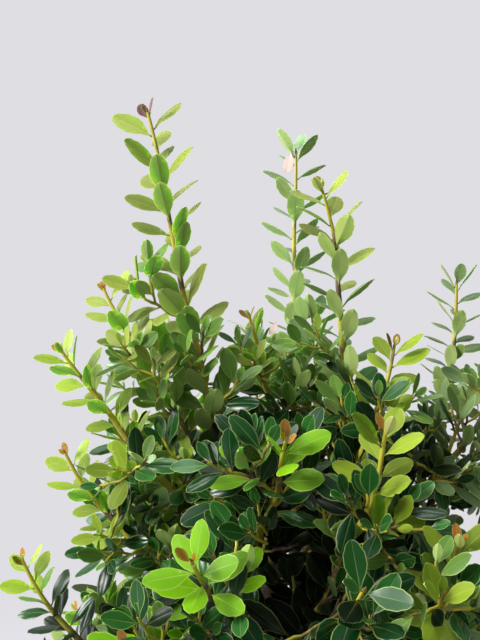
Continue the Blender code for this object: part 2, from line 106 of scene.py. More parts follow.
# How a kind of shoot grows: where along it the leaves begin, its side twigs, how far up the leafy
# stem they go, their length, the radius of its space, its short spurs and how far up the side twigs'
# zone they go, the twiglets on a side twig, and how far its leaves stand out from the stem in degrees
Habit = namedtuple("Habit", "leafy_from twigs twig_zone twig_length space spurs spur_zone twiglets spread")
SPIRE = Habit(0.30, 2, 0.40, 0.060, 0.075, 6, 0.5, 1, 66)
PLUME = Habit(0.30, 3, 0.24, 0.050, 0.065, 4, 0.8, 1, 66)
SPRIG = Habit(0.34, 3, 0.50, 0.042, 0.060, 6, 0.8, 2, 64)
BRANCH = Habit(0.30, 4, 0.40, 0.050, 0.070, 8, 0.9, 2, 66)
ARM = Habit(0.30, 6, 0.66, 0.058, 0.080, 12, 1.0, 4, 74)
TUFT = Habit(0.34, 4, 0.65, 0.045, 0.070, 13, 1.0, 5, 76)
SKIRT = Habit(0.36, 5, 0.80, 0.055, 0.085, 14, 1.0, 5, 72)

# How a shoot's leaves are coloured: the young tone, how far it reaches down from the tip, the old tone.
# A middle tone comes between the two. Then the size of the young leaves, and the tone of the very first
Look = namedtuple("Look", "young reach old size first", defaults=(1.0, "red"))
SUNNY = Look("light", 0.055, "dark")
TALLEST = Look("light", 0.190, "green", 1.08, "plum")

# One leafy shoot: what it springs from and how far along that, then where its tip is (compass angle
# round the trunk in degrees from +X, reach from the pot's axis, height over the compost), how far it
# bows out and down between, as a share of its length, the turn of its first side twig in degrees, and
# its colouring
Shoot = namedtuple("Shoot", "name habit mother at azimuth reach height bow turn look")
SHOOTS = [
    Shoot("spire_centre", SPIRE, "trunk", 1.00, 27, 0.045, 0.428, 0.27, 265, Look("light", 0.072, "green", 1.08)),
    Shoot("spire_back", PLUME, "spire_centre", 0.11, 77, 0.123, 0.474, 0.22, 40, Look("blue", 0.30, "blue", 1.12)),
    Shoot("crown_centre", SPRIG, "spire_centre", 0.20, 124, 0.024, 0.334, 0.05, 250, Look("light", 0.050, "mid", 0.75)),
    Shoot("arm_left", BRANCH, "trunk", 0.92, 200, 0.146, 0.310, 0.06, 70, Look("fresh", 0.098, "mid", 0.84)),
    Shoot("spire_left", SPIRE, "arm_left", 0.21, 200, 0.088, 0.471, -0.03, 300, TALLEST),
    Shoot("shoulder_left", SPRIG, "spire_left", 0.16, 190, 0.116, 0.352, 0.04, 210, Look("light", 0.14, "green", 0.85)),
    Shoot("centre_front", TUFT, "arm_left", 0.11, 273, 0.120, 0.261, 0.14, 300, Look("lime", 0.038, "dark")),
    Shoot("back_left_high", BRANCH, "trunk", 0.88, 128, 0.115, 0.300, 0.16, 40, Look("light", 0.110, "mid")),
    Shoot("right_centre", TUFT, "trunk", 0.84, 347, 0.089, 0.313, 0.14, 0, Look("fresh", 0.080, "mid")),
    Shoot("spire_right", PLUME, "trunk", 0.78, 19, 0.156, 0.359, 0.32, 330, Look("shade", 0.120, "shade", 0.70)),
    Shoot("arm_right_high", TUFT, "spire_right", 0.21, 3, 0.178, 0.315, 0.18, 300, Look("shade", 0.2, "shade", 0.85)),
    Shoot("arm_low_left", SPRIG, "trunk", 0.74, 193, 0.142, 0.240, 0.19, 220, Look("fresh", 0.075, "mid", 0.84)),
    Shoot("arm_right", TUFT, "trunk", 0.70, 358, 0.137, 0.262, 0.22, 280, Look("shade", 0.060, "dark")),
    Shoot("back_mid", ARM, "trunk", 0.66, 92, 0.158, 0.275, 0.20, 10, SUNNY),
    Shoot("front_right", TUFT, "trunk", 0.64, 298, 0.136, 0.268, 0.22, 30, Look("fresh", 0.060, "dark")),
    Shoot("front_rosette", TUFT, "front_right", 0.17, 285, 0.172, 0.190, 0.14, 90, Look("dark", 0.0, "dark", 1.35)),
    Shoot("back_right", ARM, "trunk", 0.60, 50, 0.165, 0.262, 0.20, 150, SUNNY),
    Shoot("front_left", TUFT, "trunk", 0.57, 254, 0.166, 0.203, 0.07, 160, Look("lime", 0.046, "dark")),
    Shoot("back_left", ARM, "trunk", 0.54, 134, 0.158, 0.245, 0.20, 260, SUNNY),
    Shoot("front_low", SKIRT, "trunk", 0.41, 240, 0.166, 0.150, 0.14, 60, Look("lime", 0.055, "dark")),
    Shoot("skirt_far_left", SKIRT, "trunk", 0.38, 156, 0.165, 0.100, 0.24, 100, SUNNY),
    Shoot("skirt_front_right", SKIRT, "trunk", 0.36, 306, 0.172, 0.208, 0.34, 200, Look("fresh", 0.066, "dark")),
    Shoot("skirt_back_right", SKIRT, "trunk", 0.33, 62, 0.170, 0.150, 0.24, 300, SUNNY),
    Shoot("skirt_left", BRANCH, "trunk", 0.30, 203, 0.172, 0.178, 0.28, 0, Look("fresh", 0.022, "dark", 0.75)),
    Shoot("skirt_right", SKIRT, "trunk", 0.28, 345, 0.168, 0.158, 0.26, 240, SUNNY),
    Shoot("skirt_back_left", SKIRT, "trunk", 0.26, 116, 0.170, 0.140, 0.24, 330, SUNNY),
    Shoot("skirt_front", SKIRT, "trunk", 0.20, 268, 0.150, 0.098, 0.20, 30, Look("light", 0.02, "dark")),
]

# Twigs: how far along the leafy stem they stand, how far each is off its even place, and how its length falls
# towards the stem's tip and varies. Then the same for the short ones: twiglets on twigs and spurs on stems
TWIGS_FROM, TWIGS_TO, TWIG_SHIFT, TWIG_SCATTER = 0.03, 0.97, 0.35, 0.15
TWIG_FALLS, TWIG_VARIES = (1.05, 0.45), (0.85, 1.1)
SHORT_SCATTER, SHORT_VARIES = (0.2, 0.8), (0.7, 1.3)
TWIGLET_LENGTH, TWIGLETS_FROM, TWIGLETS_TO = 0.024, 0.2, 0.85
SPUR_LENGTH, SPURS_FROM = 0.030, 0.6

# How a twig leaves its mother: shares along her, away from her and up, then how far it bows, and its radius
# as a share of hers, with a limit
Growth = namedtuple("Growth", "along out up bow share limit")
SIDE_GROWTH = Growth(0.55, 0.85, 0.25, 0.16, 0.55, math.inf)
SHORT_GROWTH = Growth(0.5, 0.85, 0.3, 0.1, 0.7, 0.0010)

# How much thinner twigs are drawn, how they and the stems narrow to their tips, the length of a drawn piece, and the
# height and spacing of their knuckles
TWIG_SLIMNESS, TWIG_NARROWING, STEM_NARROWING = 0.72, 0.28, 0.4
TWIG_STEP, KNUCKLE, KNUCKLE_SPACING = 0.004, 0.10, 0.0075

# Where leaves start on a stem or twig and how they crowd to its tip. A twig shorter than a side twig is left out
# if it has too few leaves. A twig's leaves are older by a share of its foot's distance from the shoot's tip
STEM_LEAVES_FROM, TWIG_LEAVES_FROM, FIRST_LEAF = 0.5, 0.12, 0.0012
TWIG_SPACING, CROWDED, CROWD_SETTLES = 1.1, 0.84, 2.4
SIDE_TWIG_LENGTH, FEWEST_LEAVES = 0.033, 3
BELOW_TIP, STRETCH_STEPS = 0.6, 12

# How leaves grow from the tip down: the first one's size and how fast that settles, how sizes vary, how far in
# degrees the first ones stand out, and how much closer than the others those of an open rosette do
YOUNG_GROWTH, OLD_GROWTH = (0.42, 1.6), (0.50, 1.2)
SIZE_VARIES, FIRST_SIZE, TIP_LEAVES = (0.86, 1.06), 0.6, 3
TIP_SPREAD, OPEN_ROSETTE, SPREAD_SETTLES = 24, 16, 3.0
LEAF_ROLL, LEAF_RISE, LEAF_SUNK = math.radians(15), 0.12, 0.5
# A leaf without room is tried again, each time turned further and a little smaller
TRIES, LOOSER, LOOSER_TURN, SPREAD_VARIES = 8, 0.10, 3, 0.08
SHRINK, TIP_SHRINK = 0.03, 0.08
# How far leaves keep from each other and from the compost, and the grid and the tubes that find what they touch
LEAF_CLEARANCE, SOIL_CLEARANCE, GRID_CELL, TUBE_SIDES = 0.0002, 0.004, 0.015, 5

# Where leaves face: up, away from the trunk and to the light, which is weaker towards the back and higher low down.
# On the front of upright stems leaves rise along the stem, and the open tips have none that point to the front
FACE_RISE, OUTWARD_FACING = 0.2, 0.40
LIGHT_FACING, LIGHT_LIFT, LIFT_HEIGHTS = Vector((-0.20, -0.80, 0.20)), 0.45, (0.46, 0.26)
LIGHT_MIDDLE, LIGHT_DEPTH, LEAST_LIT = 0.7, 0.16, 0.1
FRONT_RISE, FRONT_SHARE, OPEN_TIP = 0.6, 0.62, 0.034

# The dark hollow in the lower front: its axis, and its half width and half height
HOLLOW_ENDS = (Vector((0.006, -0.18, 0.353)), Vector((0.013, -0.06, 0.318)))
HOLLOW_SIZE = (0.025, 0.036)
# Inside these heights and reaches from the crown's dark middle, leaves that are not young are dark or deep as painted
# shade
DARK_HEIGHT, DARK_REACH, DARK_MIDDLE = 0.43, 0.088, 0.035
INNER_HEIGHT, INNER_REACH = 0.385, 0.085

# Dried scraps on the shoot at the back: height, lean to the side, size and turn. Then how they hang and stand off
SCRAPS = [(0.617, -0.25, 0.62, -0.35), (0.486, -0.65, 0.42, -0.4), (0.470, -0.30, 0.42, 0.3)]
SCRAP_HANGS, SCRAP_OFFSET = 0.2, Vector((0.02, -0.012, 0.006))

# The tones of leaves, each dealt out in a few shades, what comes after a young tone and at times in place of an old
# one, how the reach of young tones varies, how much further middle ones reach, and how far the very first do
TONES = ["red", "plum", "lime", "fresh", "light", "green", "mid", "dark", "deep", "blue", "shade", "withered"]
FIRST = ("red", "plum")
YOUNG = (*FIRST, "lime", "fresh", "light")
OLD = ("mid", "dark", "deep")
MIDDLE = {"lime": "mid", "fresh": "green", "light": "green", "blue": "blue", "shade": "shade", "dark": "dark"}
DEEPER, DEEPER_SHARE = {"mid": "dark", "dark": "deep", "shade": "mid"}, 0.25
REACH_VARIES, MIDDLE_REACH, RED_REACH, MID_LEAVES = (0.8, 1.25), 1.5, 0.009, 2
BLACK, WHITE = (0, 0, 0), (1, 1, 1)


def tint(name, description, *screen):
    """A colour setting, from a screen colour of 0 to 255 that becomes linear light."""
    shares = [value / 255 for value in screen]
    default = [s / 12.92 if s <= 0.04045 else ((s + 0.055) / 1.055) ** 2.4 for s in shares]
    return FloatVectorProperty(name=name, description=description, subtype="COLOR", min=0, max=1, default=default)


def metres(name, description, default):
    """A length setting in metres."""
    return FloatProperty(name=name, description=description, default=default, min=0, unit="LENGTH", precision=4)


class HollyFoliage(bpy.types.PropertyGroup):
    leaf_length: metres("Leaf Length", "Length of a full-grown leaf with its stalk", 0.030)
    leaf_spacing: metres("Leaf Spacing", "Distance between leaves along a stem", 0.0050)
    leaf_width: FloatProperty(name="Leaf Width", description="Width as a share of length", default=0.47)
    red: tint("Red", "Smallest leaves at the very tips", 156, 104, 44)
    plum: tint("Plum", "Smallest leaves at the tip of the tallest shoot", 104, 52, 62)
    lime: tint("Lime", "Newest leaves at the front", 108, 160, 2)
    fresh: tint("Fresh", "Young leaves", 130, 152, 38)
    light: tint("Light", "This year's leaves", 136, 150, 62)
    green: tint("Green", "Leaves a little older", 100, 138, 58)
    mid: tint("Mid", "Leaves between young and old", 34, 92, 33)
    # Dark is old leaves' own tone, also painted shade low in the crown's middle. Deep is painted shade inside the
    # crown, and some oldest leaves at random
    dark: tint("Dark", "Old glossy leaves", 9, 56, 20)
    deep: tint("Deep", "Oldest leaves, inside the crown", 2, 20, 7)
    blue: tint("Blue Green", "Leaves of the shoot at the back", 118, 154, 102)
    shade: tint("Shade", "Greyish leaves on the right", 104, 130, 82)
    vein: tint("Vein", "What margins and ribs are tinted with", 196, 210, 120)
    underside: tint("Underside", "What undersides are tinted with", 184, 204, 122)
    bud: tint("Bud", "Buds and their scales", 128, 84, 78)
    withered: tint("Withered", "Dried scraps of leaf", 200, 178, 172)


class HollyWood(bpy.types.PropertyGroup):
    trunk_bark: tint("Trunk Bark", "Grey-brown bark", 96, 84, 66)
    bough_bark: tint("Bough Bark", "Bark of the boughs", 116, 102, 56)
    green_bark: tint("Green Bark", "Bark of the leafy stems", 184, 174, 50)
    red_bark: tint("Red Bark", "Purple-brown patches of the stems", 104, 78, 66)
    relief: metres("Bark Relief", "Height of the ridges on the trunk", 0.0006)
    twig_sides: IntProperty(name="Twig Sides", description="Sides of a twig", default=7, min=3)


class HollyPot(bpy.types.PropertyGroup):
    plastic: tint("Plastic", "Moulded plastic of the pot", 36, 38, 40)
    dust: tint("Dust", "Dried splashes low on the pot", 120, 112, 100)
    compost: tint("Compost", "Moist compost", 52, 38, 28)
    chips: tint("Chips", "Bark chips in the compost", 98, 68, 44)
    grit: tint("Grit", "White grit in the compost", 205, 200, 188)
    chip_density: FloatProperty(name="Chip Density", description="Chips per square metre", default=16000)


class HollyStudio(bpy.types.PropertyGroup):
    backdrop: tint("Backdrop", "Pale room behind the plant", 223, 222, 227)
    floor_fade: metres("Floor Fade", "Radius at which the floor has faded out", 1.05)
    key_power: FloatProperty(name="Key Power", description="Window light from the upper left", default=60, unit="POWER")
    top_power: FloatProperty(name="Top Power", description="Soft light from above", default=16, unit="POWER")
    side_power: FloatProperty(name="Side Power", description="Soft light from the left", default=21, unit="POWER")
    ambient: FloatProperty(name="Ambient", description="Strength of the room's light", default=1.7)


SETTINGS = {
    "holly_foliage": HollyFoliage,
    "holly_wood": HollyWood,
    "holly_pot": HollyPot,
    "holly_studio": HollyStudio,
}


def along(ends, t):
    """A point on the curve through three control points."""
    start, middle, end = ends
    return start * (1 - t) ** 2 + middle * (2 * t * (1 - t)) + end * t**2


def heading(ends, t):
    """The direction of that curve."""
    start, middle, end = ends
    return ((middle - start) * (1 - t) + (end - middle) * t).normalized()


def sideways(direction, turn):
    """A unit vector square to a direction, at an angle about it that is measured from above."""
    reference = UP if abs(direction.z) < UPRIGHT else Vector((0, 1, 0))
    across = direction.cross(reference).normalized()
    return Matrix.Rotation(turn, 3, direction) @ across


def squared(vector, direction):
    """The part of a vector that is square to a direction, at unit length."""
    return (vector - direction * vector.dot(direction)).normalized()


class Limb:
    """One woody line: a smooth curve with a slight seeded wobble and a taper."""

    def __init__(self, name, start, tip, bow, base_radius, leafy_from=0.0):
        chord = tip - start
        drop = -(UP - UP.dot(chord.normalized()) * chord.normalized()).normalized()
        self.name = name
        self.ends = (start, start + chord / 2 + drop * (bow * chord.length), tip)
        self.length = chord.length
        self.base_radius = base_radius
        self.leafy_from = leafy_from
        seeded = random.Random(name)
        self.phases = [seeded.uniform(0, 2 * math.pi) for _ in range(2)]
        self.sway = min(WOBBLE, SWAY_SHARE * self.length)

    def point(self, t):
        sway = (WOBBLE if self.leafy_from else self.sway) * math.sin(math.pi * t)
        side = sideways(heading(self.ends, t), 0)
        other = heading(self.ends, t).cross(side)
        wave = 4 * math.pi * t
        offset = side * math.sin(wave + self.phases[0]) + other * math.sin(wave + self.phases[1])
        return along(self.ends, t) + offset * sway

    def direction(self, t):
        step = 0.02
        return (self.point(min(t + step, 1)) - self.point(max(t - step, 0))).normalized()

    def radius(self, t):
        return TWIG_TIP_RADIUS + (self.base_radius - TWIG_TIP_RADIUS) * max(1 - t, 0) ** TAPER


class Trunk(Limb):
    """The trunk, from its flat cut on the compost, with its root flare and a slight lean, to its fork."""

    def __init__(self):
        foot = Vector((TRUNK_LEAN, TRUNK_LEAN / 2, TRUNK_FOOT))
        super().__init__("trunk", foot, Vector((0, 0, TRUNK_TOP)), TRUNK_BOW, TRUNK_RADIUS, 1.0)

    def radius(self, t):
        rise = t * (TRUNK_TOP - COMPOST_LEVEL)
        taper = TRUNK_RADIUS + (TRUNK_TOP_RADIUS - TRUNK_RADIUS) * t
        return taper + ROOT_FLARE * math.exp(-rise / ROOT_FLARE_DEPTH)


@functools.cache
def the_limbs():
    """The trunk, and every shoot's limb from the middle of its mother to its tip."""
    limbs = {"trunk": Trunk()}
    for shoot in SHOOTS:
        mother = limbs[shoot.mother]
        start = mother.point(shoot.at) - mother.direction(shoot.at) * (LEADER_SUNK if shoot.at == 1 else 0)
        angle = math.radians(shoot.azimuth)
        tip = Vector((shoot.reach * math.cos(angle), shoot.reach * math.sin(angle), COMPOST_LEVEL + shoot.height))
        length = (tip - start).length
        share = LIMB_SHARE_OF_MOTHER * mother.radius(shoot.at)
        radius = min(LIMB_BASE_RADIUS + LIMB_RADIUS_BY_LENGTH * length, share)
        limbs[shoot.name] = Limb(shoot.name, start, tip, shoot.bow, radius, shoot.habit.leafy_from)
    return limbs


def offshoot(mother, name, t, turn, length, growth):
    """A twig that leaves its mother at a place along her and a turn round her."""
    stem, start = mother.direction(t), mother.point(t)
    way = (stem * growth.along + sideways(stem, turn) * growth.out + UP * growth.up).normalized()
    radius = min(growth.limit, growth.share * mother.radius(t))
    return Limb(name, start, start + way * length, growth.bow, radius)


def side_twigs(shoot, limb):
    """The side twigs of a shoot, set round its stem by the golden angle."""
    habit, seeded = shoot.habit, random.Random(shoot.name + " twigs")
    twigs = []
    for k in range(habit.twigs):
        share = (k + TWIG_SHIFT + seeded.uniform(-TWIG_SCATTER, TWIG_SCATTER)) / habit.twigs
        t = habit.leafy_from + TWIGS_FROM + (TWIGS_TO - habit.leafy_from) * habit.twig_zone * share
        length = habit.twig_length * (TWIG_FALLS[0] - TWIG_FALLS[1] * share) * seeded.uniform(*TWIG_VARIES)
        turn = math.radians(shoot.turn) + k * GOLDEN_ANGLE
        twigs.append(offshoot(limb, f"{shoot.name} {k}", t, turn, length, SIDE_GROWTH))
    return twigs


def short_twigs(mother, name, count, length, low, high):
    """Short finer twigs along a stretch of a limb, by the same rule."""
    seeded = random.Random(name)
    turn, twigs = seeded.uniform(0, 2 * math.pi), []
    for k in range(count):
        t = low + (high - low) * (k + seeded.uniform(*SHORT_SCATTER)) / count
        size = length * seeded.uniform(*SHORT_VARIES)
        twigs.append(offshoot(mother, f"{name} {k}", t, turn + k * GOLDEN_ANGLE, size, SHORT_GROWTH))
    return twigs


class Solid:
    """A shape's box and search tree, for finding what it touches."""

    def __init__(self, points, faces):
        self.low = [min(point[k] for point in points) for k in range(3)]
        self.high = [max(point[k] for point in points) for k in range(3)]
        self.tree = BVHTree.FromPolygons([tuple(point) for point in points], faces)

    def touches(self, other):
        if any(self.low[k] > other.high[k] or other.low[k] > self.high[k] for k in range(3)):
            return False
        return bool(self.tree.overlap(other.tree))


class Room:
    """What already stands in the crown, kept by the cells of a grid."""

    def __init__(self):
        self.cells = defaultdict(list)

    def cells_of(self, solid):
        spans = [range(int(solid.low[k] // GRID_CELL), int(solid.high[k] // GRID_CELL) + 1) for k in range(3)]
        return [(x, y, z) for x in spans[0] for y in spans[1] for z in spans[2]]

    def add(self, owner, solid):
        for cell in self.cells_of(solid):
            self.cells[cell].append((owner, solid))

    def free(self, solid, spared):
        seen = set()
        for cell in self.cells_of(solid):
            for owner, other in self.cells[cell]:
                if id(other) not in seen and owner != spared:
                    seen.add(id(other))
                    if solid.touches(other):
                        return False
        return True


def circle(count, turn=0.0):
    """The cosine and sine of even angles all the way round."""
    angles = [turn + 2 * math.pi * k / count for k in range(count)]
    return [(math.cos(angle), math.sin(angle)) for angle in angles]


def tube_solids(limb):
    """Rough tubes round the short stretches of a limb, for finding what touches it."""
    after = [(k + 1) % TUBE_SIDES for k in range(TUBE_SIDES)]
    faces = [(k, after[k], TUBE_SIDES + after[k], TUBE_SIDES + k) for k in range(TUBE_SIDES)]
    count = max(1, round(limb.length / GRID_CELL))
    rings = []
    for k in range(count + 1):
        direction, centre = limb.direction(k / count), limb.point(k / count)
        across = sideways(direction, 0)
        other = direction.cross(across)
        reach = limb.radius(k / count) + TWIG_CLEARANCE
        rings.append([centre + (across * c + other * s) * reach for c, s in circle(TUBE_SIDES)])
    return [Solid(low + high, faces) for low, high in zip(rings, rings[1:])]


# The form of a leaf: how far its tip bends down, how domed and how folded it is and how far each half of it
# swells, all as shares of its length, its width as a share of the others', which rows of its outline it has, how
# many times as thick it is, and whether a pale keel runs under it
Form = namedtuple("Form", "bend dome fold swell width rows thick keel", defaults=(1.0, False))
ALL_ROWS = tuple(range(11))
FORMS = [
    Form(0.20, 0.36, 0.12, 0.028, 0.88, ALL_ROWS),
    Form(0.05, 0.10, 0.20, 0.0, 1.0, ALL_ROWS, 1.0, True),
    Form(0.08, 0.22, 0.10, 0.0, 1.0, ALL_ROWS, 1.0, True),
    Form(0.02, 0.12, 0.22, 0.0, 1.0, ALL_ROWS, 2.4),
    Form(0.14, 0.30, 0.04, 0.0, 1.0, (0, 1, 3, 5, 7, 9, 10)),
    Form(0.15, 0.12, 0.18, 0.0, 1.0, ALL_ROWS),
]
OLD_FORMS, YOUNG_FORMS, TIP_FORM, DEEP_FORM, WITHERED_FORM = (0, 0, 2), (1, 2), 3, 4, 5

# A leaf's measures as shares of its length: its stalk, its widest place and how full it is there and at its tip,
# its teeth and the notches between them, its margin and its sunk rib, each with a limit as a share of the half
# width, where its halves swell, its thickness, and its keel's width as a share of the rib's
STALK, STALK_HALF, LEAST_HALF = 0.09, 0.018, 0.010
WIDEST, FULLNESS, DOME_WIDTH = 0.53, (0.95, 0.44), 0.23
TOOTH, NOTCH, FIRST_TOOTH = 0.009, -0.6, 4
MARGIN, MARGIN_LIMIT, RIB, RIB_LIMIT, RIB_NARROWS, RIB_SUNK = 0.019, 0.35, 0.011, 0.4, 1.15, 0.007
SWELL_PLACE, SWELL_HEIGHT = 0.55, 5
LEAF_THICKNESS, MIDDLE_THICKER, STALK_THICKER, KEEL = 0.012, 0.006, 1.6, 1.3
STATIONS = [0, 0.14, 0.30, 0.46, 0.60, 0.71, 0.81, 0.895, 0.958, 1.0]
# The outline that a leaf keeps clear of others: place along it and half width at its foot, then places alone
GUARD_FOOT, GUARD_STATIONS = (0.16, 0.05), (0.40, 0.62, 0.85)
LEAF_PARTS = ("Blade", "Margin", "Rib", "Underside")
# A bud of unit length: its rings, from foot to tip, how they twist, its sides and how flat it is
BUD_RINGS, BUD_TWIST = ((0, 0.10), (0.22, 0.19), (0.5, 0.17), (0.8, 0.08), (1.0, 0.01)), 1.3
BUD_SIDES, BUD_FLATNESS = 6, 0.8


def leaf_half_width(u, width):
    """Half the width of the blade at a share of its length: a wedge at its base, blunt at its tip."""
    swell = math.sin(math.pi * u ** (math.log(0.5) / math.log(WIDEST)))
    return max(width / 2 * max(swell, 0) ** (FULLNESS[0] - FULLNESS[1] * u), LEAST_HALF)


def leaf_height(form, along_leaf, across_leaf):
    """The height of the leaf's upper side, all as shares of its length."""
    side = abs(across_leaf)
    return -form.bend * along_leaf**2 - form.dome * side**2 / DOME_WIDTH + form.fold * side


def leaf_outline(width):
    """(place along the leaf, half width) from the foot of the stalk to the tip, with shallow teeth past the middle."""
    rows = [(0.0, STALK_HALF), (STALK, STALK_HALF)]
    for k, u in enumerate(STATIONS[1:], 1):
        tooth = TOOTH * (1 if k % 2 else NOTCH) if k >= FIRST_TOOTH and u < 1 else 0
        rows.append((STALK + (1 - STALK) * u, leaf_half_width(u, width) + tooth))
    return rows


def leaf_mesh(name, form, width):
    """A thin closed leaf of unit length along +Y, facing +Z, with each face marked by its place in LEAF_PARTS."""
    bm = bmesh.new()
    part = bm.faces.layers.int.new("part")
    outline = leaf_outline(form.width * width)
    rows = []
    for y, half in [outline[k] for k in form.rows]:
        inner = half - min(MARGIN, MARGIN_LIMIT * half)
        rib = min(RIB * (RIB_NARROWS - y), RIB_LIMIT * half)
        right = [(rib, -RIB_SUNK), (inner, 0), (half, 0)]
        if form.swell:
            right.insert(1, (rib + SWELL_PLACE * (inner - rib), form.swell * half * SWELL_HEIGHT))
        across = [(-x, lift) for x, lift in reversed(right)] + right
        row = [bm.verts.new((x, y, leaf_height(form, y, x) + lift)) for x, lift in across]
        depth = (LEAF_THICKNESS * (STALK_THICKER if y <= STALK else 1) + MIDDLE_THICKER) * form.thick
        for x in (KEEL * rib, -KEEL * rib) if form.keel else (0,):
            row.append(bm.verts.new((x, y, leaf_height(form, y, 0) - depth)))
        rows.append(row + row[:1])
    blade = [0, 0] if form.swell else [0]
    marks = [1, *blade, 2, *blade, 1, *([3, 2, 3] if form.keel else [3, 3])]
    sharp = (0, len(across) - 1, -2, -3) if form.keel else (0, len(across) - 1, -2)
    for low, high in zip(rows, rows[1:]):
        for k, mark in enumerate(marks):
            bm.faces.new((low[k], low[k + 1], high[k + 1], high[k]))[part] = mark
        for k in sharp:
            bm.edges.get((low[k], high[k])).smooth = False
    bm.faces.new(rows[0][:0:-1])[part] = 3
    bm.faces.new(rows[-1][:-1])[part] = 1
    return smooth_mesh(name, bm)


def ring_faces(bm, rings):
    """The faces that join each ring of corners to the next."""
    made = []
    for low, high in zip(rings, rings[1:]):
        for k in range(len(low)):
            after = (k + 1) % len(low)
            made.append(bm.faces.new((low[k], high[k], high[after], low[after])))
    return made


def bud_mesh(name):
    """A small pointed bud of unit length along +Y, wrapped in two scales."""
    bm = bmesh.new()
    part = bm.faces.layers.int.new("part")
    rings = []
    for y, radius in BUD_RINGS:
        corners = circle(BUD_SIDES, BUD_TWIST * y)
        rings.append([bm.verts.new((radius * c, y, BUD_FLATNESS * radius * s)) for c, s in corners])
    for k, face in enumerate(ring_faces(bm, rings)):
        face[part] = 3 * (k % 3 == 0)
    bm.faces.new(rings[0])
    bm.faces.new(rings[-1][::-1])
    return smooth_mesh(name, bm)


def smooth_mesh(name, bm):
    """A smooth shaded mesh from a bmesh, with its faces pointing out."""
    bmesh.ops.recalc_face_normals(bm, faces=bm.faces)
    mesh = bpy.data.meshes.new(name)
    bm.to_mesh(mesh)
    bm.free()
    mesh.shade_smooth()
    return mesh


# One leaf in the crown
Leaf = namedtuple("Leaf", "owner tone form root direction face size")


def leaf_guard(leaf, length, width):
    """The thin slab that a leaf keeps clear of others, past its foot."""
    form, scale = FORMS[leaf.form], length * leaf.size
    across = leaf.face.cross(leaf.direction)
    outline = [GUARD_FOOT] + [(y, leaf_half_width(y, width)) for y in GUARD_STATIONS]
    points = []
    for lift in (-LEAF_CLEARANCE - LEAF_THICKNESS * scale, LEAF_CLEARANCE):
        for side in (-1, 1):
            for y, half in outline:
                local = across * (side * half) + leaf.direction * y + leaf.face * leaf_height(form, y, half)
                points.append(leaf.root + local * scale + leaf.face * lift)
        tip = leaf.direction + leaf.face * leaf_height(form, 1, 0)
        points.append(leaf.root + tip * scale + leaf.face * lift)
    count = len(outline)
    layer = 2 * count + 1
    faces = []
    for base in (0, layer):
        for k in range(count - 1):
            faces.append((base + k, base + k + 1, base + count + k + 1, base + count + k))
        faces.append((base + count - 1, base + layer - 1, base + 2 * count - 1))
    return Solid(points, faces)


def in_hollow(point):
    """Whether a point is in the dark hollow that opens in the lower front of the crown."""
    start, end = HOLLOW_ENDS
    line = end - start
    share = (point - start).dot(line) / line.length_squared
    off = point - start - line * share
    return (off.x / HOLLOW_SIZE[0]) ** 2 + (off.z / HOLLOW_SIZE[1]) ** 2 < 1 and 0 < share < 1


def frontness(axis, out):
    """How far a leaf on an upright stem is on its front, from 0 to 1."""
    return max(-out.y, 0) * max(axis.z, 0) ** 2


def leaf_frame(root, axis, out, spread, roll, clasping):
    """The way that a leaf points, and the way that its upper side faces, up and out to the light.

    On an upright stem, the leaves on its front rise along it, and young ones that point to the front clasp it.
    """
    front = frontness(axis, out)
    spread *= 1 - FRONT_RISE * front
    direction = (axis * math.cos(spread) + out * math.sin(spread) + UP * LEAF_RISE).normalized()
    lit = min(max(LIGHT_MIDDLE - root.y / LIGHT_DEPTH, LEAST_LIT), 1)
    lit *= -1 if clasping and front > FRONT_SHARE else 1
    high, low = LIFT_HEIGHTS
    lift = UP * (LIGHT_LIFT * min(max((high - root.z) / (high - low), 0), 1))
    outward = Vector((root.x, root.y, 0)).normalized() * OUTWARD_FACING
    face = squared(axis + UP * FACE_RISE + outward + (LIGHT_FACING + lift) * lit, direction)
    return direction, Matrix.Rotation(roll, 3, direction) @ face


def tone_at(look, age, k, seeded):
    """The tone of a leaf: young while its age, a distance from the shoot's tip, is under the look's reach."""
    reach = look.reach * seeded.uniform(*REACH_VARIES)
    if age < reach:
        return look.first if k < TIP_LEAVES and age < RED_REACH and look.young in YOUNG else look.young
    if age < MIDDLE_REACH * reach:
        return MIDDLE[look.young]
    if k < MID_LEAVES and look.old == "dark":
        return "mid"
    return DEEPER.get(look.old, look.old) if seeded.random() < DEEPER_SHARE else look.old


def size_at(look, tone, k, seeded):
    """The size of a leaf as a share of a full-grown one: small at the tip."""
    first, settles = YOUNG_GROWTH if tone in (*YOUNG, "green") else OLD_GROWTH
    full = look.size if tone in YOUNG else (1 + look.size) / 2
    size = full * (1 - (1 - first) * math.exp(-k / settles)) * seeded.uniform(*SIZE_VARIES)
    return size * FIRST_SIZE if tone in FIRST else size


def shaded(tone, form, tip):
    """The tone and form of a leaf, darker where its tip is in the shade of the crown."""
    reach = math.hypot(tip.x - DARK_MIDDLE, tip.y)
    if tip.z < INNER_HEIGHT and reach < INNER_REACH:
        return "deep", DEEP_FORM
    return ("dark" if tip.z < DARK_HEIGHT and reach < DARK_REACH else tone), form


# A stem or twig that bears leaves: where on it they start, and how far its tip is below its shoot's tip
Line = namedtuple("Line", "shoot limb start below")


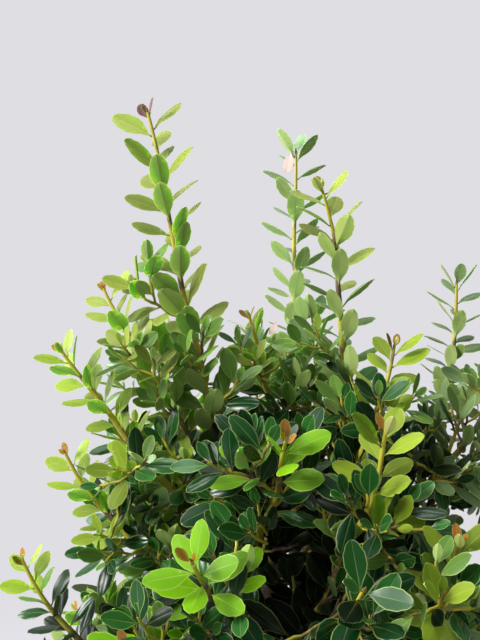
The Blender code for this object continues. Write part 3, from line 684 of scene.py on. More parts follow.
def line_leaves(room, line, length, spacing, width):
    """The leaves of one stem or twig, from its tip down, where each has room."""
    shoot, limb, start, below = line
    look, habit, stem_space = shoot.look, shoot.habit, leafy_stretch(shoot.name)
    seeded = random.Random(limb.name + " leaves")
    closed = habit.spread - TIP_SPREAD if look.reach else OPEN_ROSETTE
    distance, turn, k, leaves = FIRST_LEAF, seeded.uniform(0, 2 * math.pi), 0, []
    while distance < (1 - start) * limb.length:
        t = 1 - distance / limb.length
        axis = limb.direction(t)
        tone = tone_at(look, below + distance, k, seeded)
        size = size_at(look, tone, k, seeded)
        spread = math.radians(habit.spread - closed * math.exp(-k / SPREAD_SETTLES))
        form = TIP_FORM if k < TIP_LEAVES else seeded.choice(YOUNG_FORMS if tone in YOUNG else OLD_FORMS)
        opens = tone not in FIRST and below == 0 and distance < OPEN_TIP
        for attempt in range(TRIES):
            looser = LOOSER * attempt
            out = sideways(axis, turn + seeded.uniform(-1, 1) * looser * LOOSER_TURN)
            angle = spread * (1 + seeded.uniform(-1, 1) * (SPREAD_VARIES + looser))
            roll = seeded.uniform(-LEAF_ROLL, LEAF_ROLL) * (1 + looser * LOOSER_TURN)
            root = limb.point(t) + out * (LEAF_SUNK * limb.radius(t))
            direction, face = leaf_frame(root, axis, out, angle, roll, tone not in OLD)
            if opens and frontness(axis, out) > FRONT_SHARE:
                break
            tip = root + direction * (length * size)
            if min((tip - point).length for point in stem_space) > habit.space:
                continue
            if tone not in YOUNG:
                if in_hollow(tip):
                    continue
                tone, form = shaded(tone, form, tip)
            tried = 1 - (TIP_SHRINK if k < TIP_LEAVES else SHRINK) * attempt
            leaf = Leaf(shoot.name, tone, form, root, direction, face, size * tried)
            guard = leaf_guard(leaf, length, width)
            if guard.low[2] > COMPOST_LEVEL + SOIL_CLEARANCE and room.free(guard, limb.name):
                room.add(limb.name + " leaf", guard)
                leaves.append(leaf)
                break
        turn += GOLDEN_ANGLE
        distance += spacing * look.size * (1 - CROWDED * math.exp(-k / CROWD_SETTLES))
        k += 1
    return leaves


@functools.cache
def leafy_stretch(name):
    """Points along the leafy stretch of a shoot's stem."""
    limb = the_limbs()[name]
    shares = [k / STRETCH_STEPS for k in range(STRETCH_STEPS + 1)]
    return [limb.point(limb.leafy_from + (1 - limb.leafy_from) * share) for share in shares]


@functools.cache
def the_twigs():
    """The leafy lines of every twig that has room, and the room that they and the limbs take."""
    limbs, room, grown = the_limbs(), Room(), []
    for name, limb in limbs.items():
        for solid in tube_solids(limb):
            room.add(name, solid)

    def try_twig(shoot, twig, mother, base, further=0):
        solids = tube_solids(twig)
        if not in_hollow(twig.point(1)) and all(room.free(solid, mother) for solid in solids):
            for solid in solids:
                room.add(twig.name, solid)
            below = BELOW_TIP * (limbs[shoot.name].point(1) - base).length + further
            grown.append(Line(shoot, twig, TWIG_LEAVES_FROM, below))

    for shoot in SHOOTS:
        for twig in side_twigs(shoot, limbs[shoot.name]):
            try_twig(shoot, twig, shoot.name, twig.ends[0])
    for shoot in SHOOTS:
        limb, habit, reach = limbs[shoot.name], shoot.habit, shoot.look.reach
        top = habit.leafy_from + (TWIGS_TO - habit.leafy_from) * habit.twig_zone * habit.spur_zone
        for twig in side_twigs(shoot, limb):
            twiglets = (twig, twig.name + " small", habit.twiglets, TWIGLET_LENGTH, TWIGLETS_FROM, TWIGLETS_TO)
            for small in short_twigs(*twiglets):
                try_twig(shoot, small, twig.name, twig.ends[0], reach)
        spurs = (limb, shoot.name + " spur", habit.spurs, SPUR_LENGTH, SPURS_FROM * habit.leafy_from, top)
        for spur in short_twigs(*spurs):
            try_twig(shoot, spur, shoot.name, spur.ends[0], reach)
    return grown, room


@functools.cache
def the_leaves(length, spacing, width):
    """Every leaf of the crown, and the names of the short twigs that are left out for want of leaves."""
    (twigs, room), limbs = the_twigs(), the_limbs()
    stems = [Line(shoot, limbs[shoot.name], STEM_LEAVES_FROM * shoot.habit.leafy_from, 0) for shoot in SHOOTS]
    leaves, bare = [], set()
    for line in stems + twigs:
        wide = spacing * (TWIG_SPACING if line.below else 1)
        found = line_leaves(room, line, length, wide, width)
        if line.limb.length < SIDE_TWIG_LENGTH and len(found) < FEWEST_LEAVES:
            bare.add(line.limb.name)
        else:
            leaves += found
    return leaves, bare


def crown_leaves(foliage):
    """The crown's leaves and bare twigs, by the settings."""
    return the_leaves(foliage.leaf_length, foliage.leaf_spacing, foliage.leaf_width)


def leafy_twigs(foliage):
    """The lines of the twigs that bear leaves."""
    bare = crown_leaves(foliage)[1]
    return [line for line in the_twigs()[0] if line.limb.name not in bare]


def withered_scraps():
    """Dried scraps of leaf that hang on the shoot at the back."""
    limb = the_limbs()["spire_back"]
    foot, top = limb.ends[0].z, limb.ends[2].z
    scraps = []
    for height, side, size, turn in SCRAPS:
        root = limb.point(min(max((height - foot) / (top - foot), 0), 1))
        root += Vector((side * SCRAP_OFFSET.x, SCRAP_OFFSET.y, SCRAP_OFFSET.z))
        direction = Vector((side, -SCRAP_HANGS, -1)).normalized()
        face = squared(Vector((math.sin(turn), -math.cos(turn), 0)), direction)
        scraps.append(Leaf("spire_back", "withered", WITHERED_FORM, root, direction, face, size))
    return scraps


def add_object(name, mesh):
    """A new object in the scene."""
    piece = bpy.data.objects.new(name, mesh)
    bpy.context.scene.collection.objects.link(piece)
    return piece


def finish_piece(piece, nodes):
    """Makes a piece ride with the plant and stand for its nodes, which are hidden."""
    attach(piece, "root")
    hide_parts(*nodes)


def add_piece(mesh, finish, nodes):
    """A new piece with one finish, named like its mesh."""
    piece = add_object(mesh.name, mesh)
    mesh.materials.append(finish)
    finish_piece(piece, nodes)
    return piece


def shoot_nodes(kind):
    """The names of every shoot's node of a kind."""
    return [f"{kind}_{shoot.name}" for shoot in SHOOTS]


def evaluated_mesh(thing):
    """The plain mesh that an object's modifiers make. The object is removed."""
    bpy.context.view_layer.update()
    made = bpy.data.meshes.new_from_object(thing.evaluated_get(bpy.context.evaluated_depsgraph_get()))
    bpy.data.objects.remove(thing)
    return made


def plug(tree, made, inputs):
    """Links a node's inputs to the outputs of others, or sets them to values."""
    for key, value in inputs.items():
        if isinstance(value, bpy.types.NodeSocket):
            tree.links.new(value, made.inputs[key])
        else:
            made.inputs[key].default_value = value


def node(tree, kind, inputs=None, **settings):
    """A new node with its settings and inputs."""
    made = tree.nodes.new(kind)
    for name, value in settings.items():
        setattr(made, name, value)
    plug(tree, made, inputs or {})
    return made


def product(tree, first, second):
    """The product of two values."""
    return node(tree, "ShaderNodeMath", {0: first, 1: second}, operation="MULTIPLY").outputs[0]


def ranged(tree, value, before, after=(0, 1), kind="LINEAR"):
    """A value mapped from one range to another."""
    inputs = {"Value": value, "From Min": before[0], "From Max": before[1], "To Min": after[0], "To Max": after[1]}
    return node(tree, "ShaderNodeMapRange", inputs, interpolation_type=kind).outputs[0]


# The grain of a twig's bark. Crumbs of compost: how steep the compost may be under them, and how they turn and vary
TWIG_GRAIN = 420
LEAST_RISE = 0.6
CRUMB_TURNS = {"Min": (-0.5, -0.5, 0), "Max": (0.5, 0.5, 2 * math.pi)}
CRUMB_SIZES = {2: 0.4, 3: 1.6}


def new_tree(name, sockets):
    """A Geometry Nodes tree with named inputs, and its two ends."""
    tree = bpy.data.node_groups.new(name, "GeometryNodeTree")
    for label, kind in (("Geometry", "Geometry"), *sockets):
        tree.interface.new_socket(label, in_out="INPUT", socket_type="NodeSocket" + kind)
    tree.interface.new_socket("Geometry", in_out="OUTPUT", socket_type="NodeSocketGeometry")
    return tree, tree.nodes.new("NodeGroupInput"), tree.nodes.new("NodeGroupOutput")


def chain(tree, *nodes):
    """Links geometry through nodes, by the first socket at each end."""
    for before, after in zip(nodes, nodes[1:]):
        tree.links.new(before.outputs[0], after.inputs[0])


def named_attribute(tree, name, kind):
    """The output of a node that reads an attribute."""
    return node(tree, "GeometryNodeInputNamedAttribute", {"Name": name}, data_type=kind).outputs["Attribute"]


def run_tree(name, mesh, tree, values):
    """The plain mesh object that a tree makes of a mesh."""
    holder = add_object(name + "_source", mesh)
    modifier = holder.modifiers.new("grow", "NODES")
    modifier.node_group = tree
    for item in tree.interface.items_tree:
        if item.in_out == "INPUT" and item.name in values:
            modifier[item.identifier] = values[item.name]
    made = evaluated_mesh(holder)
    made.name = name
    return add_object(name, made)


def spray_tree():
    """Sets leaves or buds on points: each point has its turn, its size and the number of its form."""
    sockets = [("Forms", "Collection"), ("Leaf Length", "Float"), *((label, "Material") for label in LEAF_PARTS)]
    tree, start, end = new_tree("Leaf Sprays", sockets)
    given = start.outputs
    forms = {"Collection": given["Forms"], "Separate Children": True, "Reset Children": True}
    points = {
        "Pick Instance": True,
        "Instance": node(tree, "GeometryNodeCollectionInfo", forms).outputs["Instances"],
        "Instance Index": named_attribute(tree, "form", "INT"),
        "Rotation": named_attribute(tree, "turn", "QUATERNION"),
        "Scale": product(tree, named_attribute(tree, "size", "FLOAT"), given["Leaf Length"]),
    }
    spray = node(tree, "GeometryNodeInstanceOnPoints", points)
    part, paints = named_attribute(tree, "part", "INT"), []
    for number, label in enumerate(LEAF_PARTS):
        same = node(tree, "FunctionNodeCompare", {2: part, 3: number}, data_type="INT", operation="EQUAL")
        paint = {"Selection": same.outputs[0], "Material": given[label]}
        paints.append(node(tree, "GeometryNodeSetMaterial", paint))
    chain(tree, start, spray, node(tree, "GeometryNodeRealizeInstances"), *paints, end)
    return tree


def twig_tree():
    """Round tapering twigs along lines, with the small relief of their bark."""
    tree, start, end = new_tree("Twigs", [("Sides", "Int"), ("Relief", "Float"), ("Bark", "Material")])
    given = start.outputs
    circle_node = node(tree, "GeometryNodeCurvePrimitiveCircle", {"Resolution": given["Sides"], "Radius": 1})
    radius = named_attribute(tree, "radius", "FLOAT")
    profile = {"Profile Curve": circle_node.outputs["Curve"], "Scale": radius, "Fill Caps": True}
    grain = node(tree, "ShaderNodeTexNoise", {"Scale": TWIG_GRAIN}).outputs["Fac"]
    normal = node(tree, "GeometryNodeInputNormal").outputs[0]
    lift = {0: normal, "Scale": product(tree, grain, given["Relief"])}
    offset = node(tree, "ShaderNodeVectorMath", lift, operation="SCALE").outputs[0]
    chain(
        tree,
        start,
        node(tree, "GeometryNodeMeshToCurve"),
        node(tree, "GeometryNodeCurveToMesh", profile),
        node(tree, "GeometryNodeSetPosition", {"Offset": offset}),
        node(tree, "GeometryNodeSetShadeSmooth"),
        node(tree, "GeometryNodeRealizeInstances"),
        node(tree, "GeometryNodeSetMaterial", {"Material": given["Bark"]}),
        end,
    )
    return tree


def scatter_tree():
    """Crumbs strewn over the compost: each is turned and sized at random, by a fixed seed."""
    sockets = [("Crumb", "Object"), ("Density", "Float"), ("Size", "Float"), ("Seed", "Int"), ("Finish", "Material")]
    tree, start, end = new_tree("Compost Crumbs", sockets)
    given = start.outputs
    normal = node(tree, "GeometryNodeInputNormal").outputs[0]
    rise = node(tree, "ShaderNodeSeparateXYZ", {0: normal}).outputs["Z"]
    upward = node(tree, "FunctionNodeCompare", {0: rise, 1: LEAST_RISE}).outputs[0]
    strewn = {"Selection": upward, "Density": given["Density"], "Seed": given["Seed"]}
    turn = node(tree, "FunctionNodeRandomValue", CRUMB_TURNS, data_type="FLOAT_VECTOR")
    grow = node(tree, "FunctionNodeRandomValue", CRUMB_SIZES)
    points = {
        "Instance": node(tree, "GeometryNodeObjectInfo", {"Object": given["Crumb"]}).outputs["Geometry"],
        "Rotation": turn.outputs[0],
        "Scale": product(tree, grow.outputs[1], given["Size"]),
    }
    chain(
        tree,
        start,
        node(tree, "GeometryNodeDistributePointsOnFaces", strewn),
        node(tree, "GeometryNodeInstanceOnPoints", points),
        node(tree, "GeometryNodeRealizeInstances"),
        node(tree, "GeometryNodeSetMaterial", {"Material": given["Finish"]}),
        end,
    )
    return tree


# How far light goes inside a leaf
GLOW_REACH = (0.0005, 0.0010, 0.0002)


def new_material(name):
    """A new material, its nodes' tree and its shader."""
    made = bpy.data.materials.new(name)
    made.use_nodes = True
    return made, made.node_tree, made.node_tree.nodes["Principled BSDF"]


def plain_material(name, colour, roughness, reflection=0.5, glow=0.0):
    """One even finish. Its variety comes from how such finishes are dealt out. Light glows through thin leaves."""
    made, tree, shader = new_material(name)
    look = {"Base Color": (*colour, 1), "Roughness": roughness, "Specular IOR Level": reflection}
    glows = {"Subsurface Weight": glow, "Subsurface Radius": GLOW_REACH, "Subsurface Scale": 1}
    plug(tree, shader, look | glows)
    made.diffuse_color = (*colour, 1)
    return made


def blended(first, second, share):
    """A colour between two."""
    return tuple(a + (b - a) * share for a, b in zip(first, second))


# The values of a mottle: the size of its patches, the low and high edge of their mask, the size of its grain, and
# the stretch of both along Z
MOTTLE_INPUTS = ("Patch Scale", "Low", "High", "Grain Scale", "Stretch")


@functools.cache
def mottle_group():
    """A soft mask of patches on an object's own coordinates, and a fine grain to go with it."""
    group = bpy.data.node_groups.new("Mottle", "ShaderNodeTree")
    for labels, side in ((MOTTLE_INPUTS, "INPUT"), (("Mask", "Grain"), "OUTPUT")):
        for label in labels:
            group.interface.new_socket(label, in_out=side, socket_type="NodeSocketFloat")
    given = group.nodes.new("NodeGroupInput").outputs
    place = node(group, "ShaderNodeTexCoord").outputs["Object"]
    stretch = node(group, "ShaderNodeCombineXYZ", {"X": 1, "Y": 1, "Z": given["Stretch"]}).outputs[0]
    spot = node(group, "ShaderNodeVectorMath", {0: place, 1: stretch}, operation="MULTIPLY").outputs[0]
    broad = {"Vector": spot, "Scale": given["Patch Scale"], "Detail": 5, "Roughness": 0.6}
    patches = node(group, "ShaderNodeTexNoise", broad).outputs["Fac"]
    mask = ranged(group, patches, (given["Low"], given["High"]), kind="SMOOTHSTEP")
    grain = node(group, "ShaderNodeTexNoise", {"Vector": spot, "Scale": given["Grain Scale"], "Detail": 4})
    node(group, "NodeGroupOutput", {"Mask": mask, "Grain": grain.outputs["Fac"]})
    return group


def mottle(tree, values):
    """The mask and grain of one use of the mottle group."""
    return node(tree, "ShaderNodeGroup", dict(enumerate(values)), node_tree=mottle_group()).outputs


def mixed_colour(tree, mask, first, second):
    """A colour between two, by a mask. Each is a colour or an output."""
    ends = {6: first, 7: second}
    ends = {key: end if isinstance(end, bpy.types.NodeSocket) else (*end, 1) for key, end in ends.items()}
    return node(tree, "ShaderNodeMix", {"Factor": mask, **ends}, data_type="RGBA").outputs[2]


def bumped(tree, height, strength, distance):
    """The normal of a surface with a fine relief."""
    inputs = {"Strength": strength, "Distance": distance, "Height": height}
    return node(tree, "ShaderNodeBump", inputs).outputs["Normal"]


# Rough finishes: the mottle of the second colour and the finer one of the third, the roughness, and the strength
# and depth of the relief
ROUGH_FINISHES = {
    "grey_brown_bark": ((160, 0.42, 0.66, 1400, 0.3), (620, 0.60, 0.70, 900, 1.6), (0.62, 0.85), (0.5, 0.0006)),
    "olive_brown_bark": ((70, 0.46, 0.62, 1500, 0.6), (260, 0.55, 0.72, 800, 0.8), (0.50, 0.75), (0.35, 0.0004)),
    "green_stem_bark": ((42, 0.50, 0.62, 1600, 0.7), (420, 0.58, 0.70, 700, 1), (0.42, 0.65), (0.3, 0.0002)),
    "moist_compost": ((110, 0.4, 0.65, 900, 1), (520, 0.56, 0.66, 500, 1), (0.75, 0.95), (0.9, 0.0015)),
}


def rough_material(name, *colours):
    """A material of three mottled colours with a grain."""
    made, tree, shader = new_material(name)
    patch, fine, roughness, bump = ROUGH_FINISHES[name]
    broad, small = mottle(tree, patch), mottle(tree, fine)
    base = mixed_colour(tree, broad["Mask"], colours[0], colours[1])
    colour = mixed_colour(tree, small["Mask"], base, colours[2])
    rough = ranged(tree, small["Grain"], (0, 1), roughness)
    plug(tree, shader, {"Base Color": colour, "Roughness": rough, "Normal": bumped(tree, broad["Grain"], *bump)})
    made.diffuse_color = (*colours[0], 1)
    return made


# Bark tubes: their sides, the length of a ring, their relief as a share of the trunk's and how wide a collar is
TRUNK_TUBE, BOUGH_TUBE = (30, 0.0020, 1.0, 0.0), (14, 0.0022, 0.4, 0.35)
# How far up a collar reaches, how leaf scars stand out and how far apart, how close the ridges are round a limb and
# along it, and the fineness and share of the specks. Then how far stems start inside the boughs, and their relief
# as a share of the trunk's
COLLAR_DEPTH, SCAR, SCAR_SPACING = 0.006, 0.05, 0.0095
RIDGES, RIDGE_STRETCH, SPECKS, SPECK_SHARE = 3.2, 55, 900, 0.35
STEM_OVERLAP, STEM_RELIEF = 0.002, 0.3
# How dark and pale the trunk is in patches, how brown and green the boughs are, and how pale the stems
DIM_BARK, PALE_BARK, BROWN_BARK, OLIVE_BARK = 0.45, 0.22, 0.7, 0.5
PALE_SKIN, PALE_STEM = (0.5, 0.5, 0.3), 0.35


def add_bark(bm, limb, top, tube, relief, shape=None):
    """A closed tube round a limb up to a share of it, with ridges along it, leaf scars across and a collar."""
    sides, step, relief_share, collar = tube
    count = max(4, round(top * limb.length / step))
    rows, across = [], sideways(limb.direction(0), 0)
    for k in range(count + 1):
        t = top * k / count
        direction, centre, along_limb = limb.direction(t), limb.point(t), t * limb.length
        across = squared(across, direction)
        other = direction.cross(across)
        base = limb.radius(t) * (1 + collar * math.exp(-along_limb / COLLAR_DEPTH))
        scar = SCAR * max(0, math.sin(2 * math.pi * along_limb / SCAR_SPACING)) ** 8
        row = []
        for c, s in circle(sides):
            ring = across * c + other * s
            ridge = noise.noise(Vector((c * RIDGES, s * RIDGES, along_limb * RIDGE_STRETCH)))
            speck = noise.noise((centre + ring * base) * SPECKS)
            row.append(centre + ring * (base * (1 + scar) + relief_share * relief * (ridge + SPECK_SHARE * speck)))
        rows.append(row)
    if shape:
        shape(rows)
    rings = [[bm.verts.new(point) for point in row] for row in rows]
    ring_faces(bm, rings)
    bm.faces.new(rings[0][::-1])
    bm.faces.new(rings[-1])


# The trunk's foot has lobes: how deep, how many and how far up. Its last rows round off its top
LOBE, LOBES, LOBE_HEIGHT = 0.16, 4, 0.010
ROUNDED_ROWS, ROUNDING = 4, 0.045


def shape_trunk(rows):
    """Gives rings of the trunk's bark a lobed foot and a rounded top."""
    for k, row in enumerate(rows):
        rise = max(row[0].z - TRUNK_FOOT, 0)
        centre = sum(row, Vector()) / len(row)
        for s, point in enumerate(row):
            lobe = LOBE * math.sin(LOBES * 2 * math.pi * s / len(row) + 1) * math.exp(-rise / LOBE_HEIGHT)
            row[s] = centre + (point - centre) * (1 + lobe)
        last = k - (len(rows) - ROUNDED_ROWS) + 1
        if last > 0:
            centre = sum(row, Vector()) / len(row)
            row[:] = [centre + (point - centre) * (1 - ROUNDING * last) for point in row]


class HollyOperator:
    """What the operators share."""

    bl_options = {"REGISTER", "UNDO"}


class HOLLY_OT_trunk(HollyOperator, bpy.types.Operator):
    """Makes the trunk with its flared, lobed foot and ridged bark"""

    bl_idname = "holly.trunk"
    bl_label = "Trunk"

    def execute(self, context):
        wood = context.scene.holly_wood
        bm = bmesh.new()
        add_bark(bm, the_limbs()["trunk"], 1, TRUNK_TUBE, wood.relief, shape_trunk)
        dim, pale = blended(wood.trunk_bark, BLACK, DIM_BARK), blended(wood.trunk_bark, WHITE, PALE_BARK)
        bark = rough_material("grey_brown_bark", wood.trunk_bark, dim, pale)
        add_piece(smooth_mesh("trunk_bark", bm), bark, ["trunk"])
        return {"FINISHED"}


class HOLLY_OT_boughs(HollyOperator, bpy.types.Operator):
    """Makes the bare boughs, each with a collar where it leaves the trunk or its mother bough"""

    bl_idname = "holly.boughs"
    bl_label = "Boughs"

    def execute(self, context):
        wood = context.scene.holly_wood
        bm = bmesh.new()
        for shoot in SHOOTS:
            limb = the_limbs()[shoot.name]
            add_bark(bm, limb, limb.leafy_from, BOUGH_TUBE, wood.relief)
        brown = blended(wood.bough_bark, wood.red_bark, BROWN_BARK)
        olive = blended(wood.bough_bark, wood.green_bark, OLIVE_BARK)
        bark = rough_material("olive_brown_bark", wood.bough_bark, brown, olive)
        add_piece(smooth_mesh("bough_bark", bm), bark, shoot_nodes("bough"))
        return {"FINISHED"}


class HOLLY_OT_twigs(HollyOperator, bpy.types.Operator):
    """Makes the green leafy stems and all their twigs"""

    bl_idname = "holly.twigs"
    bl_label = "Stems and Twigs"

    def execute(self, context):
        wood = context.scene.holly_wood
        points, edges, radii = [], [], []

        def draw(limb, low, slimness, narrowing):
            steps = max(3, round((1 - low) * limb.length / TWIG_STEP))
            first = len(points)
            for k in range(steps + 1):
                t = low + (1 - low) * k / steps
                knuckle = 1 + KNUCKLE * math.sin(2 * math.pi * t * limb.length / KNUCKLE_SPACING) ** 2
                points.append(limb.point(t))
                radii.append(limb.radius(t) * knuckle * slimness * (1 - narrowing * t**3))
            edges.extend((k, k + 1) for k in range(first, len(points) - 1))

        for shoot in SHOOTS:
            limb = the_limbs()[shoot.name]
            draw(limb, limb.leafy_from - STEM_OVERLAP / limb.length, 1, STEM_NARROWING)
        for line in leafy_twigs(context.scene.holly_foliage):
            draw(line.limb, 0, TWIG_SLIMNESS, TWIG_NARROWING)
        mesh = bpy.data.meshes.new("twig_lines")
        mesh.from_pydata(points, edges, [])
        set_attribute(mesh, "radius", "FLOAT", radii)
        pale = blended(wood.green_bark, PALE_SKIN, PALE_STEM)
        bark = rough_material("green_stem_bark", wood.green_bark, wood.red_bark, pale)
        values = {"Sides": wood.twig_sides, "Relief": STEM_RELIEF * wood.relief, "Bark": bark}
        finish_piece(run_tree("green_twigs", mesh, twig_tree(), values), shoot_nodes("foliage"))
        return {"FINISHED"}


def set_attribute(mesh, name, kind, values):
    """Gives a mesh's points an attribute."""
    mesh.attributes.new(name, kind, "POINT").data.foreach_set("value", values)


def spray_points(name, leaves):
    """A mesh with one point for each leaf, and its turn, size and form."""
    mesh = bpy.data.meshes.new(name)
    mesh.from_pydata([leaf.root for leaf in leaves], [], [])
    turns = []
    for leaf in leaves:
        across = leaf.face.cross(leaf.direction)
        turns += list(Matrix((-across, leaf.direction, leaf.face)).transposed().to_quaternion())
    set_attribute(mesh, "turn", "QUATERNION", turns)
    set_attribute(mesh, "size", "FLOAT", [leaf.size for leaf in leaves])
    set_attribute(mesh, "form", "INT", [leaf.form for leaf in leaves])
    return mesh


def collect(name, meshes):
    """A collection that holds one object for each mesh, in the order of their names."""
    group = bpy.data.collections.new(name)
    bpy.context.scene.collection.children.link(group)
    for mesh in meshes:
        group.objects.link(bpy.data.objects.new(mesh.name, mesh))
    return group


def discard(group):
    """Removes a collection and its objects."""
    for thing in list(group.objects):
        bpy.data.objects.remove(thing)
    bpy.data.collections.remove(group)


# How the leaves of an age look: the blade's roughness and its reflection, how much of the vein's colour goes into
# the margin and the rib and of the underside's into the underside, and how far light glows through
Gloss = namedtuple("Gloss", "roughness reflection margin rib underside glow")
YOUNG_GLOSS = Gloss(0.45, 0.18, 0.30, 0.25, 0.62, 0.6)
MIDDLE_GLOSS = Gloss(0.26, 0.42, 0.40, 0.22, 0.68, 0.5)
OLD_GLOSS = Gloss(0.20, 0.44, 0.26, 0.14, 0.12, 0.0)
DRY_GLOSS = Gloss(0.70, 0.20, 0.0, 0.0, 0.3, 0.0)
# The deep leaves' finish: painted shade inside the crown, with little reflection to keep them near black
INNER_GLOSS = Gloss(0.35, 0.16, 0.14, 0.08, 0.08, 0.0)
GLOSSES = {"dark": OLD_GLOSS, "deep": INNER_GLOSS, "withered": DRY_GLOSS, **dict.fromkeys(YOUNG, YOUNG_GLOSS)}

# The shades of a tone: how far it goes towards another colour, how bright it is and how much rougher each is than
# the one before. Then the roughness of margins and ribs and of undersides
VARIETY = 3
TOWARDS = ("fresh", "light", "deep")
SHADE_SHARES, OLD_SHADE_SHARES, SHADE_BRIGHTNESS = (0.06, 0.0, 0.16), (0.02, 0.0, 0.16), (1.18, 1.0, 0.86)
SHADE_ROUGHER, EDGE_ROUGHNESS, UNDERSIDE_ROUGHNESS = 0.04, 0.5, 0.6


def leaf_finishes(foliage, tone, k):
    """The four finishes of a leaf, in one of the shades of its tone."""
    gloss = GLOSSES.get(tone, MIDDLE_GLOSS)
    share = (OLD_SHADE_SHARES if tone in OLD else SHADE_SHARES)[k]
    colour = blended(getattr(foliage, tone), getattr(foliage, TOWARDS[k]), share)
    colour = tuple(value * SHADE_BRIGHTNESS[k] for value in colour)
    parts = [
        (colour, gloss.roughness + SHADE_ROUGHER * k, gloss.glow),
        (blended(colour, foliage.vein, gloss.margin), EDGE_ROUGHNESS, 0.0),
        (blended(colour, foliage.vein, gloss.rib), EDGE_ROUGHNESS, 0.0),
        (blended(colour, foliage.underside, gloss.underside), UNDERSIDE_ROUGHNESS, gloss.glow),
    ]
    return {
        part: plain_material(f"{tone}_{k + 1}_{part.lower()}", shown, rough, gloss.reflection, glow)
        for part, (shown, rough, glow) in zip(LEAF_PARTS, parts)
    }


class HOLLY_OT_leaves(HollyOperator, bpy.types.Operator):
    """Makes every leaf, joined by tone, with its blade, pale margin, rib and underside"""

    bl_idname = "holly.leaves"
    bl_label = "Leaves"

    def execute(self, context):
        foliage = context.scene.holly_foliage
        leaves = crown_leaves(foliage)[0] + withered_scraps()
        meshes = [leaf_mesh(f"leaf_{k}", form, foliage.leaf_width) for k, form in enumerate(FORMS)]
        forms, tree = collect("leaf_forms", meshes), spray_tree()
        for tone in TONES:
            mine = [leaf for leaf in leaves if leaf.tone == tone]
            for k in range(VARIETY):
                share, name = mine[k::VARIETY], f"leaves_{tone}_{k + 1}"
                if share:
                    values = {"Forms": forms, "Leaf Length": foliage.leaf_length, **leaf_finishes(foliage, tone, k)}
                    piece = run_tree(name, spray_points(name, share), tree, values)
                    finish_piece(piece, sorted({"foliage_" + leaf.owner for leaf in share}))
        discard(forms)
        return {"FINISHED"}


# Buds: their length, how many stand at a shoot's tip, how they turn, lean out and shrink one after another and how
# deep they sit. Then the roughness of their scales, and the share of green and the roughness between those
BUD_LENGTH, SHOOT_BUDS, TWIG_BUD_SIZE = 0.0044, 3, 0.8
BUD_TURN, BUD_LEAN, BUD_SHRINK, BUD_SUNK = 2.1, 0.28, 0.2, 0.0008
SCALE_ROUGHNESS, BUD_GREEN, GREEN_ROUGHNESS = 0.55, 0.55, 0.5


class HOLLY_OT_buds(HollyOperator, bpy.types.Operator):
    """Makes the reddish bud at the tip of every shoot and twig"""

    bl_idname = "holly.buds"
    bl_label = "Buds"

    def execute(self, context):
        foliage = context.scene.holly_foliage
        buds = []
        lines = [(shoot, the_limbs()[shoot.name], 1.0, SHOOT_BUDS) for shoot in SHOOTS]
        lines += [(line.shoot, line.limb, TWIG_BUD_SIZE, 1) for line in leafy_twigs(foliage)]
        for shoot, limb, size, count in lines:
            axis = limb.direction(1)
            for k in range(count):
                side = sideways(axis, k * BUD_TURN)
                direction = (axis + side * (BUD_LEAN * k)).normalized()
                face = squared(side, direction)
                root = limb.point(1) - axis * BUD_SUNK
                buds.append(Leaf(shoot.name, "bud", 0, root, direction, face, size * (1 - BUD_SHRINK * k)))
        forms = collect("bud_forms", [bud_mesh("bud")])
        scale = plain_material("bud_scale", foliage.bud, SCALE_ROUGHNESS)
        green = blended(foliage.bud, foliage.light, BUD_GREEN)
        inner = plain_material("bud_green", green, GREEN_ROUGHNESS)
        values = {"Forms": forms, "Leaf Length": BUD_LENGTH, "Blade": scale, "Underside": inner}
        piece = run_tree("buds", spray_points("buds", buds), spray_tree(), values)
        discard(forms)
        finish_piece(piece, shoot_nodes("foliage"))
        return {"FINISHED"}


def arc(centre, radius, low, high):
    """Points of an arc in the profile's plane, from one angle to another in degrees."""
    angles = [math.radians(low + (high - low) * k / 4) for k in range(5)]
    return [(centre[0] + radius * math.cos(a), centre[1] + radius * math.sin(a)) for a in angles]


# The pot, in metres
POT_BASE_RADIUS = 0.069
POT_TOP_RADIUS = 0.091
POT_WALL = 0.0026
POT_FLOOR = 0.0035
RIM_DEPTH = 0.015
FOOT_HEIGHT = 0.013
FOOT_STEP = 0.0022
DRAIN_HOLES = 8
DRAIN_WIDTH = 0.013
DRAIN_REACH = 0.016
DRAIN_HEIGHT = 0.0085
DRAIN_ROUNDING = 0.0016
POT_SEGMENTS = 120
SHARP_ANGLE = math.radians(40)
# The pot's profile: the recess in its underside, as distances from its foot and heights, the radii of its bends and
# its lip, its steps, and two ribs round its wall: how far they stand out, half their height, and their places over
# the floor and under the rim's band. Then the rim's curve and the bends of the inner wall
RECESS = [(-0.010, 0.0), (-0.009, 0.0006), (-0.004, 0.0006), (-0.003, 0.0)]
ROLL, LIP, STEP, SMALL_STEP = 0.0012, 0.0009, 0.0006, 0.0004
WALL_RIB, WALL_RIB_HALF, LOW_RIB, HIGH_RIB = 0.0004, 0.0012, 0.045, 0.012
RIM_BELLY, RIM_CURVE, INNER_STEP, INNER_BEND = 0.0065, 0.0002, 0.0008, 0.001


def pot_radius(height):
    """Radius of the pot's outer wall at a height."""
    return POT_BASE_RADIUS + (POT_TOP_RADIUS - POT_BASE_RADIUS) * height / POT_HEIGHT


